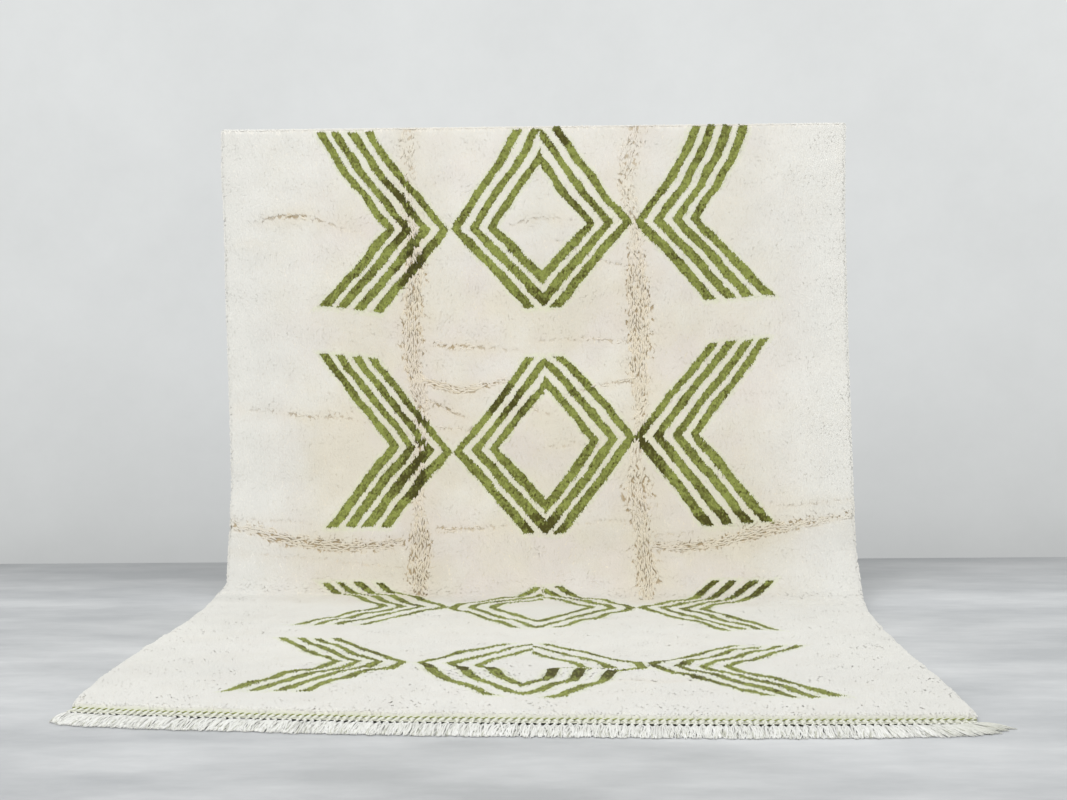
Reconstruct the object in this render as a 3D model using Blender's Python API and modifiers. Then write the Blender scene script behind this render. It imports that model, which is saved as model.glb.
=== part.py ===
"""A hand-knotted wool pile rug, hanging from its top edge and lying on the floor at its foot.

X runs across the rug, +Y points away from the viewer and +Z up. The origin is the middle of the top edge,
at the back of the weave, where something above holds the rug. The pile side faces the viewer and then the
ceiling, and the knotted warp ends of the near edge are spread on the floor.
"""

import math
import random
from collections import namedtuple

import bmesh
import bpy
import numpy as np
from mathutils import Matrix, Vector

# Driving dimensions, in metres.
RUG_WIDTH = 2.0
RUG_LENGTH = 2.85
DROP = 1.524
THICKNESS = 0.024
CORNER_SAG = 0.016
SAG_FADES_BY = 0.30
TOUCH_GAP = 0.0003

# The weave's side view along each edge: corners in Y and Z, each with the radius that the rug takes there.
Corner = namedtuple("Corner", "y z radius")
LEFT_PATH = (
    Corner(0.0, 0.0, 0.0),
    Corner(0.0, -DROP + 0.361, 0.50),
    Corner(-0.106, -DROP, 0.0975),
    Corner(-RUG_LENGTH, -DROP, 0.0),
)
RIGHT_PATH = (
    Corner(0.0, 0.0, 0.0),
    Corner(-0.058, -DROP + 0.762, 0.50),
    Corner(-0.186, -DROP, 0.236),
    Corner(-RUG_LENGTH, -DROP, 0.0),
)

# How far each long edge wanders out from straight, at distances along the rug from its top edge.
Wander = namedtuple("Wander", "along left right")
EDGE_WANDER = (
    Wander(0.00, 0.002, 0.010),
    Wander(0.12, 0.005, 0.006),
    Wander(0.32, 0.001, 0.002),
    Wander(0.55, 0.000, 0.004),
    Wander(0.90, -0.005, 0.006),
    Wander(1.25, -0.008, 0.006),
    Wander(1.49, -0.008, 0.009),
    Wander(1.53, 0.014, 0.007),
    Wander(1.58, 0.018, 0.004),
    Wander(1.64, 0.014, 0.001),
    Wander(1.72, 0.003, -0.007),
    Wander(1.95, -0.002, -0.016),
    Wander(2.30, 0.006, -0.015),
    Wander(2.60, 0.008, -0.003),
    Wander(2.85, -0.014, -0.005),
)
WANDER_REACH = 0.30

# How far the front edge bows out from straight, at places across. The bow fades out over its reach.
Bow = namedtuple("Bow", "across out")
FRONT_BOW = (
    Bow(-1.00, 0.0000),
    Bow(-0.87, 0.0135),
    Bow(-0.68, 0.0235),
    Bow(-0.46, 0.0310),
    Bow(-0.23, 0.0360),
    Bow(0.07, 0.0300),
    Bow(0.31, 0.0230),
    Bow(0.54, 0.0130),
    Bow(0.75, -0.0020),
    Bow(0.90, -0.0130),
    Bow(1.00, -0.0190),
)
BOW_REACH = 0.60

# Creases of the pile: each is a curve through three places, given across and along the rug. Depth is how far
# the pile sinks there, and a negative depth is a ridge.
Crease = namedtuple("Crease", "x1 s1 x2 s2 x3 s3 width depth")
CREASES = (
    Crease(-0.43, 0.00, -0.39, 0.75, -0.365, 1.50, 0.078, 0.0070),
    Crease(0.300, 0.00, 0.345, 0.75, 0.350, 1.50, 0.078, 0.0070),
    Crease(-0.97, 0.30, -0.75, 0.25, -0.50, 0.33, 0.034, 0.0050),
    Crease(-0.34, 0.70, -0.05, 0.74, 0.28, 0.69, 0.034, 0.0045),
    Crease(-0.98, 1.27, -0.68, 1.39, -0.38, 1.33, 0.040, 0.0075),
    Crease(0.38, 1.34, 0.68, 1.34, 0.98, 1.24, 0.040, 0.0075),
    Crease(-0.99, 1.555, 0.00, 1.50, 0.86, 1.600, 0.040, 0.0070),
    Crease(-0.40, 2.44, -0.05, 2.46, 0.22, 2.45, 0.050, -0.0055),
)

# The pile's lumps are three slow waves of one height. Each has its turns per metre across and along the rug.
Wave = namedtuple("Wave", "across along")
LUMP_WAVES = (Wave(5.9, 1.8), Wave(3.7, -6.5), Wave(0.0, 8.4))
LUMP = 0.0011
FULLEST_PILE = THICKNESS + 0.006

# Spacing of the lines that the pile's surface is drawn on. They are close within a spot's reach of its centre
# and fall back to the usual spacing over the next stretch of SPOT_FADE times that reach.
USUAL_ACROSS = 0.086
USUAL_ALONG = 0.080
SPOT_FADE = 0.6
Spot = namedtuple("Spot", "centre reach spacing")
FINE_ACROSS = (Spot(-0.395, 0.050, 0.026), Spot(0.335, 0.050, 0.026))
FINE_ALONG = (
    Spot(0.29, 0.04, 0.030),
    Spot(0.71, 0.03, 0.028),
    Spot(1.33, 0.05, 0.028),
    Spot(1.56, 0.10, 0.026),
    Spot(2.45, 0.03, 0.028),
)

# The pile rounds off at the rim: it has this share of its height there, and all of it from this far in.
RIM_HEIGHT = 0.45
RIM_ROUND = 0.016

# Locks of pile that stand out of the rim: their size, how far they stray in place, and how far they lean.
LOCK_PITCH = 0.045
LOCK_PROUD = 0.006
LOCK_LENGTH = 0.024
LOCK_WIDTH = 0.036
LOCK_THICKNESS = 0.013
LOCK_TAPER = 0.5
LOCK_MIDDLE = 0.0095
LOCK_STRAY = 0.0045
LOCK_SHORTEST, LOCK_LONGEST = -0.003, 0.001
LOCK_DROOP = 0.25
LOCK_LEAN = 0.15

# The flat-woven heading at the near edge, and the knotted warp ends that are fused into it.
HEADING_DEPTH = 0.024
HEADING_HEIGHT = 0.0070
TASSEL_COUNT = 122
TASSEL_LENGTH = 0.108
SHORTEST_TASSEL, LONGEST_TASSEL = 0.98, 1.06
ROOT_SUNK = 0.006
KNOT_AT = 0.014

# One warp end's half width and the heights of its underside and its top, at distances from the heading.
Station = namedtuple("Station", "along half_width base top")
TO_KNOT = (
    Station(-ROOT_SUNK, 0.0042, 0.0012, 0.0058),
    Station(KNOT_AT * 0.5, 0.0038, 0.0, 0.0068),
    Station(KNOT_AT, 0.0060, 0.0, 0.0120),
    Station(KNOT_AT * 1.6, 0.0044, 0.0, 0.0070),
)
TIP = Station(TASSEL_LENGTH, 0.0036, 0.0, 0.0045)
CROWN = 0.55

# The warp ends sweep outwards at both corners of the rug and drift a little in clumps between them. A drift's
# pace and start are in radians, per warp end and at the first one.
FAN_TASSELS = 16
FAN_LEFT = 0.014
FAN_RIGHT = 0.056
FAN_CURVE = 1.5
FAN_SHORTENS = 0.22
Drift = namedtuple("Drift", "reach pace start")
DRIFTS = (Drift(0.0026, 0.71, 0.0), Drift(0.0020, 0.37, 1.0))
STRAY = 0.0008


def rounded_path(corners, steps=14):
    """The (y, z) points of straight stretches joined by arcs of each corner's radius."""
    points = [(corners[0].y, corners[0].z)]
    for before, here, after in zip(corners, corners[1:], corners[2:]):
        corner = Vector((here.y, here.z))
        back = (Vector((before.y, before.z)) - corner).normalized()
        on = (Vector((after.y, after.z)) - corner).normalized()
        half = back.angle(on) / 2
        centre = corner + (back + on).normalized() * here.radius / math.sin(half)
        first = corner + back * here.radius / math.tan(half) - centre
        last = corner + on * here.radius / math.tan(half) - centre
        turn = math.atan2(first.x * last.y - first.y * last.x, first.dot(last))
        for step in range(steps + 1):
            place = centre + Matrix.Rotation(turn * step / steps, 2) @ first
            points.append((place.x, place.y))
    points.append((corners[-1].y, corners[-1].z))
    return np.array(points)


def along_path(path, distance):
    """The (y, z) point at a distance along a path."""
    run = np.concatenate([[0.0], np.cumsum(np.linalg.norm(np.diff(path, axis=0), axis=1))])
    return np.array([np.interp(distance, run, path[:, 0]), np.interp(distance, run, path[:, 1])])


LEFT_SIDE = rounded_path(LEFT_PATH)
RIGHT_SIDE = rounded_path(RIGHT_PATH)


def weave_point(across, along):
    """The place of a point of the woven ground, which every other shape here follows."""
    bow = np.interp(across, [row.across for row in FRONT_BOW], [row.out for row in FRONT_BOW])
    along += bow * min(1.0, max(0.0, 1 - (RUG_LENGTH - along) / BOW_REACH))
    places = [row.along for row in EDGE_WANDER]
    left = np.interp(along, places, [row.left for row in EDGE_WANDER])
    right = np.interp(along, places, [row.right for row in EDGE_WANDER])
    near_left = max(0.0, 1 - (across + RUG_WIDTH / 2) / WANDER_REACH)
    near_right = max(0.0, 1 - (RUG_WIDTH / 2 - across) / WANDER_REACH)
    x = across - left * near_left + right * near_right
    share = x / RUG_WIDTH + 0.5
    y, z = (1 - share) * along_path(LEFT_SIDE, along) + share * along_path(RIGHT_SIDE, along)
    return Vector((x, y, z - CORNER_SAG * share * max(0.0, 1 - along / SAG_FADES_BY)))


def crease_points(crease, steps=12):
    """Points along the curve that passes through a crease's three places."""
    share = np.linspace(0, 1, steps + 1)[:, None]
    first, middle, last = np.array(crease[:6]).reshape(3, 2)
    bend = 2 * middle - (first + last) / 2
    return (1 - share) ** 2 * first + 2 * share * (1 - share) * bend + share**2 * last


def distance_to(points, place):
    """The distance from a place to a chain of points."""
    start, step = points[:-1], np.diff(points, axis=0)
    share = np.clip(((place - start) * step).sum(1) / (step**2).sum(1), 0, 1)
    return np.linalg.norm(place - start - share[:, None] * step, axis=1).min()


CREASE_LINES = [(crease, crease_points(crease)) for crease in CREASES]


def pile_height(across, along):
    """The rug's thickness at a place: its pile is lumpy and sinks into the creases."""
    sunk = 0.0
    for crease, line in CREASE_LINES:
        share = distance_to(line, np.array([across, along])) / (crease.width / 2)
        sunk += crease.depth * math.exp(-(share**2))
    lump = sum(math.sin(2 * math.pi * (wave.across * across + wave.along * along)) for wave in LUMP_WAVES)
    return THICKNESS - sunk + LUMP * lump


def rim_share(from_rim):
    """How full the pile is near the rim, where it rounds off."""
    return RIM_HEIGHT + (1 - RIM_HEIGHT) * min(1.0, from_rim / RIM_ROUND)


def graded_lines(low, high, usual, spots):
    """Places between two rims: the rims, and lines at the usual spacing that draw together at each spot."""
    fine = np.linspace(low + RIM_ROUND, high - RIM_ROUND, 2001)
    density = np.full(len(fine), 1 / usual)
    for spot in spots:
        share = np.clip((1 + SPOT_FADE - np.abs(fine - spot.centre) / spot.reach) / SPOT_FADE, 0, 1)
        density = np.maximum(density, (1 - share) / usual + share / spot.spacing)
    count = np.concatenate([[0.0], np.cumsum((density[1:] + density[:-1]) / 2 * np.diff(fine))])
    between = np.interp(np.linspace(0, count[-1], round(count[-1]) + 1), count, fine)
    return [low, *between, high]


def material(name, colour, roughness):
    """A Principled material for one part."""
    made = bpy.data.materials.new(name)
    made.use_nodes = True
    shader = made.node_tree.nodes["Principled BSDF"]
    shader.inputs["Base Color"].default_value = (*colour, 1.0)
    shader.inputs["Roughness"].default_value = roughness
    shader.inputs["Metallic"].default_value = 0.0
    return made


def new_object(name, mesh, collection, hidden=False):
    """Links a new object, and marks one that only cuts or joins as hidden."""
    made = bpy.data.objects.new(name, mesh)
    collection.objects.link(made)
    if hidden:
        made.hide_render = True
        made.display_type = "WIRE"
    return made


def union(target, tool):
    """Joins the tool's shape to the target's."""
    flat = target.modifiers.new("flat_faces", "TRIANGULATE")
    flat.quad_method = "SHORTEST_DIAGONAL"
    join = target.modifiers.new("join", "BOOLEAN")
    join.operation = "UNION"
    join.solver = "EXACT"
    join.object = tool


def grid_mesh(name, across_lines, along_lines):
    """A flat grid primitive, its points moved onto the weave."""
    bm = bmesh.new()
    columns, rows = len(across_lines), len(along_lines)
    bmesh.ops.create_grid(bm, x_segments=columns - 1, y_segments=rows - 1, size=1.0)
    places = []
    for point in bm.verts:
        column = round((point.co.x + 1) / 2 * (columns - 1))
        row = round((1 - point.co.y) / 2 * (rows - 1))
        across, along = across_lines[column], along_lines[row]
        point.co = weave_point(across, along)
        places.append((across, along))
    bmesh.ops.recalc_face_normals(bm, faces=bm.faces)
    if sum(face.normal.y for face in bm.faces) > 0:
        bmesh.ops.reverse_faces(bm, faces=bm.faces)
    mesh = bpy.data.meshes.new(name)
    bm.to_mesh(mesh)
    bm.free()
    return mesh, places


def lock(bm, rim, out, along_rim, longer):
    """One four-sided lock that leaves the pile at a place on the rim, broad along the rim."""
    frame = Matrix((along_rim, out.cross(along_rim), out)).transposed().to_4x4()
    size = Matrix.Diagonal((LOCK_WIDTH, LOCK_THICKNESS, LOCK_LENGTH, 1))
    middle = Matrix.Translation(rim + out * (LOCK_PROUD - LOCK_LENGTH / 2 + longer))
    half_side = math.sqrt(0.5)
    bmesh.ops.create_cone(
        bm,
        cap_ends=True,
        segments=4,
        radius1=half_side,
        radius2=half_side * LOCK_TAPER,
        depth=1.0,
        matrix=middle @ frame @ size @ Matrix.Rotation(math.pi / 4, 4, "Z"),
    )


def rim_locks(name, collection):
    """Locks along both long edges and the top edge, at an uneven pitch."""
    chance = random.Random(7)
    bm = bmesh.new()
    for side in (-1, 1):
        for number in range(1, round(RUG_LENGTH / LOCK_PITCH)):
            along = number * LOCK_PITCH + chance.uniform(-LOCK_STRAY, LOCK_STRAY)
            rim = weave_point(side * RUG_WIDTH / 2, along)
            along_way = (weave_point(side * RUG_WIDTH / 2, along + LOCK_STRAY) - rim).normalized()
            up = along_way.cross(Vector((1, 0, 0))).normalized()
            out = (Vector((side, 0, 0)) + along_way * chance.uniform(0, LOCK_DROOP)).normalized()
            longer = chance.uniform(LOCK_SHORTEST, LOCK_LONGEST)
            lock(bm, rim + up * LOCK_MIDDLE, out, up.cross(out).normalized(), longer)
    for number in range(1, round(RUG_WIDTH / LOCK_PITCH)):
        across = number * LOCK_PITCH - RUG_WIDTH / 2 + chance.uniform(-LOCK_STRAY, LOCK_STRAY)
        rim = weave_point(across, 0.0) + Vector((0, -LOCK_MIDDLE, 0))
        out = Vector((chance.uniform(-LOCK_LEAN, LOCK_LEAN), 0, 1)).normalized()
        longer = chance.uniform(LOCK_SHORTEST, LOCK_LONGEST)
        lock(bm, rim, out, out.cross(Vector((0, 1, 0))).normalized(), longer)
    mesh = bpy.data.meshes.new(name)
    bm.to_mesh(mesh)
    bm.free()
    return new_object(name, mesh, collection, hidden=True)


def pile_rug(collection, tools):
    """The rug itself: one knotted cloth whose pile thickens the weave."""
    across_lines = graded_lines(-RUG_WIDTH / 2, RUG_WIDTH / 2, USUAL_ACROSS, FINE_ACROSS)
    along_lines = graded_lines(0.0, RUG_LENGTH, USUAL_ALONG, FINE_ALONG)
    mesh, places = grid_mesh("pile_rug", across_lines, along_lines)
    rug = new_object("pile_rug", mesh, collection)
    pile = rug.vertex_groups.new(name="pile")
    for number, (across, along) in enumerate(places):
        from_side = RUG_WIDTH / 2 - abs(across)
        from_end = min(along, RUG_LENGTH - along)
        full = rim_share(from_side) * rim_share(from_end)
        pile.add([number], full * pile_height(across, along) / FULLEST_PILE, "REPLACE")
    thicken = rug.modifiers.new("pile", "SOLIDIFY")
    thicken.thickness = FULLEST_PILE
    thicken.offset = 1.0
    thicken.vertex_group = "pile"
    thicken.use_even_offset = False
    union(rug, rim_locks("rim_locks", tools))
    mesh.materials.append(material("ivory_pile", (0.80, 0.77, 0.69), 0.95))
    mesh.shade_smooth()
    return rug


def loft(bm, sections):
    """A closed four-sided bar through its sections, each of four places in X and Y with a height on the floor."""
    rings = []
    for section in sections:
        rings.append([bm.verts.new((place.x, place.y, -DROP + height)) for place, height in section])
    for ring, following in zip(rings, rings[1:]):
        for number in range(4):
            after = (number + 1) % 4
            bm.faces.new((ring[number], ring[after], following[after], following[number]))
    bm.faces.new(rings[0][::-1])
    bm.faces.new(rings[-1])


def strand(bm, stations, place, side):
    """One strand that follows its stations, flat below and narrower above."""
    sections = []
    for station in stations:
        middle = place(station.along)
        corners = ((-1, station.base), (1, station.base), (CROWN, station.top), (-CROWN, station.top))
        sections.append([(middle + side * way * station.half_width, height) for way, height in corners])
    loft(bm, sections)


def fan(number):
    """How far a warp end's tip is carried sideways: outwards at the corners, in soft clumps between."""
    from_left = max(0.0, 1 - number / FAN_TASSELS)
    from_right = max(0.0, 1 - (TASSEL_COUNT - 1 - number) / FAN_TASSELS)
    clump = sum(drift.reach * math.sin(drift.pace * number + drift.start) for drift in DRIFTS)
    between = (1 - from_left) * (1 - from_right)
    return clump * between - FAN_LEFT * from_left**FAN_CURVE + FAN_RIGHT * from_right**FAN_CURVE


def heading_strip(name, near_way, collection):
    """The flat-woven strip, parted from the pile's edge, whose line it follows."""
    sections = []
    for across in graded_lines(-RUG_WIDTH / 2, RUG_WIDTH / 2, USUAL_ACROSS, FINE_ACROSS):
        back = weave_point(across, RUG_LENGTH) + near_way * TOUCH_GAP
        front = back + near_way * HEADING_DEPTH
        sections.append(((back, 0.0), (front, 0.0), (front, HEADING_HEIGHT), (back, HEADING_HEIGHT)))
    bm = bmesh.new()
    loft(bm, sections)
    bmesh.ops.recalc_face_normals(bm, faces=bm.faces)
    mesh = bpy.data.meshes.new(name)
    bm.to_mesh(mesh)
    bm.free()
    return new_object(name, mesh, collection)


def warp_ends(name, near_way, side, collection):
    """The knotted warp ends, lying level on the floor with their roots in the heading."""
    chance = random.Random(19)
    bm = bmesh.new()
    for number in range(TASSEL_COUNT):
        edge = weave_point(RUG_WIDTH * ((number + 0.5) / TASSEL_COUNT - 0.5), RUG_LENGTH)
        root = edge + near_way * (TOUCH_GAP + HEADING_DEPTH)
        longer = chance.uniform(SHORTEST_TASSEL, LONGEST_TASSEL)
        sideways = fan(number) + chance.uniform(-STRAY, STRAY)
        reach = 1 - FAN_SHORTENS * abs(sideways) / FAN_RIGHT
        tip = TIP._replace(along=TIP.along * longer)

        def place(along, root=root, reach=reach, sideways=sideways, length=tip.along):
            share = max(0.0, along / length)
            return root + near_way * along * reach + side * sideways * share**FAN_CURVE

        strand(bm, (*TO_KNOT, tip), place, side)
    bmesh.ops.recalc_face_normals(bm, faces=bm.faces)
    mesh = bpy.data.meshes.new(name)
    bm.to_mesh(mesh)
    bm.free()
    return new_object(name, mesh, collection, hidden=True)


def fringe(collection, tools):
    """The heading with the warp ends fused into it: one solid on the floor."""
    side = weave_point(RUG_WIDTH / 2, RUG_LENGTH) - weave_point(-RUG_WIDTH / 2, RUG_LENGTH)
    near_way = Vector((side.y, -side.x, 0)).normalized()
    heading = heading_strip("fringe", near_way, collection)
    union(heading, warp_ends("warp_ends", near_way, side.normalized(), tools))
    heading.data.materials.append(material("ivory_warp", (0.78, 0.76, 0.68), 0.9))
    return heading


def build():
    """Clears the scene and models the rug."""
    for old in list(bpy.data.objects):
        bpy.data.objects.remove(old)
    rug_parts = bpy.data.collections.new("pile_rug")
    tools = bpy.data.collections.new("joining_shapes")
    bpy.context.scene.collection.children.link(rug_parts)
    bpy.context.scene.collection.children.link(tools)
    pile_rug(rug_parts, tools)
    fringe(rug_parts, tools)


build()
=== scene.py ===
import math
from collections import namedtuple

import bpy
import numpy as np
from mathutils import Matrix


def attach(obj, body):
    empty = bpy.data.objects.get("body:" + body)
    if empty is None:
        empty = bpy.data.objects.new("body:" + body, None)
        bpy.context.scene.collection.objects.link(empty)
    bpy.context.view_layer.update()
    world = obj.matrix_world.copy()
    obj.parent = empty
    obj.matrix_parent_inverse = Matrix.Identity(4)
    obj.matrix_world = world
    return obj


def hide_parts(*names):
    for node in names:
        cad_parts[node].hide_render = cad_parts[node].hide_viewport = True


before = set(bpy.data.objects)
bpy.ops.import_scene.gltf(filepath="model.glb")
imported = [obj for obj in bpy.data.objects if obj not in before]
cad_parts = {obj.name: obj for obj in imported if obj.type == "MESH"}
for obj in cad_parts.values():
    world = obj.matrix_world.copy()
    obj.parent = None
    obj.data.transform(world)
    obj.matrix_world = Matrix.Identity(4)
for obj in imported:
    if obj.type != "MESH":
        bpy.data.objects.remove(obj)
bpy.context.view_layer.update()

# ---- The cloth and how it lies ----------------------------------------------------------------------------
# The rug is one hand-knotted cloth of 2.0 x 2.85 m. It hangs from its top edge, turns onto the floor, and its
# front edge lies towards the viewer. Every piece below is laid on it by distances across and along.

RUG_WIDTH = 2.0
RUG_LENGTH = 2.85
DROP = 1.524
CORNER_SAG = 0.016
SAG_FADES_BY = 0.30
WANDER_REACH = 0.30
SLOPE_REACH = 0.008

# The weave's side view along each edge: corners in Y and Z, each with the radius of the cloth's bend there.
Corner = namedtuple("Corner", "y z radius")
LEFT_PATH = (
    Corner(0.0, 0.0, 0.0),
    Corner(0.0, -DROP + 0.361, 0.50),
    Corner(-0.106, -DROP, 0.0975),
    Corner(-RUG_LENGTH, -DROP, 0.0),
)
RIGHT_PATH = (
    Corner(0.0, 0.0, 0.0),
    Corner(-0.058, -DROP + 0.762, 0.50),
    Corner(-0.186, -DROP, 0.236),
    Corner(-RUG_LENGTH, -DROP, 0.0),
)

# How far the long edges wander out from straight, as (along, left edge, right edge).
EDGE_WANDER = (
    (0.00, 0.002, 0.010),
    (0.12, 0.005, 0.006),
    (0.32, 0.001, 0.002),
    (0.55, 0.000, 0.004),
    (0.90, -0.005, 0.006),
    (1.25, -0.008, 0.006),
    (1.49, -0.008, 0.009),
    (1.53, 0.014, 0.007),
    (1.58, 0.018, 0.004),
    (1.64, 0.014, 0.001),
    (1.72, 0.003, -0.007),
    (1.95, -0.002, -0.016),
    (2.30, 0.006, -0.015),
    (2.60, 0.008, -0.003),
    (2.85, -0.014, -0.005),
)

# How far the front edge bows out from straight, as (across, out). The bow fades out over its reach.
FRONT_BOW = (
    (-1.00, 0.0000),
    (-0.87, 0.0135),
    (-0.68, 0.0235),
    (-0.46, 0.0310),
    (-0.23, 0.0360),
    (0.07, 0.0300),
    (0.31, 0.0230),
    (0.54, 0.0130),
    (0.75, -0.0020),
    (0.90, -0.0130),
    (1.00, -0.0190),
)
BOW_REACH = 0.60


def rounded_path(corners, steps=14):
    """The (y, z) points of straight stretches joined by arcs, and how far along each point is."""
    points = [(corners[0].y, corners[0].z)]
    for before, here, after in zip(corners, corners[1:], corners[2:]):
        corner = np.array([here.y, here.z])
        back = np.array([before.y, before.z]) - corner
        on = np.array([after.y, after.z]) - corner
        back, on = back / np.linalg.norm(back), on / np.linalg.norm(on)
        half = math.acos(back @ on) / 2
        inward = (back + on) / np.linalg.norm(back + on)
        centre = corner + inward * here.radius / math.sin(half)
        first = corner + back * here.radius / math.tan(half) - centre
        last = corner + on * here.radius / math.tan(half) - centre
        turn = math.atan2(first[0] * last[1] - first[1] * last[0], first @ last)
        for step in range(steps + 1):
            angle = turn * step / steps
            y = first[0] * math.cos(angle) - first[1] * math.sin(angle)
            z = first[0] * math.sin(angle) + first[1] * math.cos(angle)
            points.append((centre[0] + y, centre[1] + z))
    points.append((corners[-1].y, corners[-1].z))
    points = np.array(points)
    run = np.concatenate([[0.0], np.cumsum(np.linalg.norm(np.diff(points, axis=0), axis=1))])
    return points, run


LEFT_SIDE = rounded_path(LEFT_PATH)
RIGHT_SIDE = rounded_path(RIGHT_PATH)


def read_off(table, place, column=1):
    """A column of a table at places in its first column, drawn straight between its rows."""
    rows = np.array(table)
    return np.interp(place, rows[:, 0], rows[:, column])


def bowed(across, along):
    """The distance along that a place would have on a rug with a straight front edge."""
    out = read_off(FRONT_BOW, across)
    return along + out * np.clip(1 - (RUG_LENGTH - along) / BOW_REACH, 0, 1)


def weave(across, along):
    """Places on the back of the cloth, also a little past its edges."""
    along = bowed(across, along)
    near_left = np.maximum(0.0, 1 - (across + RUG_WIDTH / 2) / WANDER_REACH)
    near_right = np.maximum(0.0, 1 - (RUG_WIDTH / 2 - across) / WANDER_REACH)
    x = across - read_off(EDGE_WANDER, along) * near_left + read_off(EDGE_WANDER, along, 2) * near_right
    share = x / RUG_WIDTH + 0.5
    (left_y, left_z), (right_y, right_z) = (
        (np.interp(along, run, points[:, 0]), np.interp(along, run, points[:, 1]))
        for points, run in (LEFT_SIDE, RIGHT_SIDE)
    )
    y = (1 - share) * left_y + share * right_y
    z = (1 - share) * left_z + share * right_z - np.minimum(along, 0)
    z = z - CORNER_SAG * share * np.maximum(0.0, 1 - along / SAG_FADES_BY)
    return np.stack([x, y, z], axis=-1)


def directions_at(across, along):
    """The directions across the cloth, along it, and out of its pile side."""
    down = weave(across, along + SLOPE_REACH) - weave(across, along - SLOPE_REACH)
    sideways = weave(across + SLOPE_REACH, along) - weave(across - SLOPE_REACH, along)
    upright = np.cross(down, sideways)
    return [way / np.linalg.norm(way, axis=-1, keepdims=True) for way in (sideways, down, upright)]


def on_cloth(across, along, height):
    """Places that stand a height above the back of the cloth."""
    upright = directions_at(across, along)[2]
    return weave(across, along) + upright * np.asarray(height)[..., None]


def ripple(across, along, pitch, seed, waves=7):
    """Smooth unevenness between about -1 and 1, whose lumps are about one pitch apart."""
    chance = np.random.default_rng(seed)
    total = np.zeros(np.shape(across))
    for _ in range(waves):
        turn = chance.uniform(0, 2 * math.pi)
        pace = 2 * math.pi / pitch * chance.uniform(0.6, 1.4)
        start = chance.uniform(0, 2 * math.pi)
        total += np.sin(pace * (math.cos(turn) * across + math.sin(turn) * along) + start)
    return total / math.sqrt(waves)


# ---- The pattern ------------------------------------------------------------------------------------------
# Four rows of traditional figures knotted in olive wool: four nested arrowheads, a lozenge of three rings,
# and four nested arrowheads that face it. The knotter counts them by eye, so no two rows are quite the same.

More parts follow.
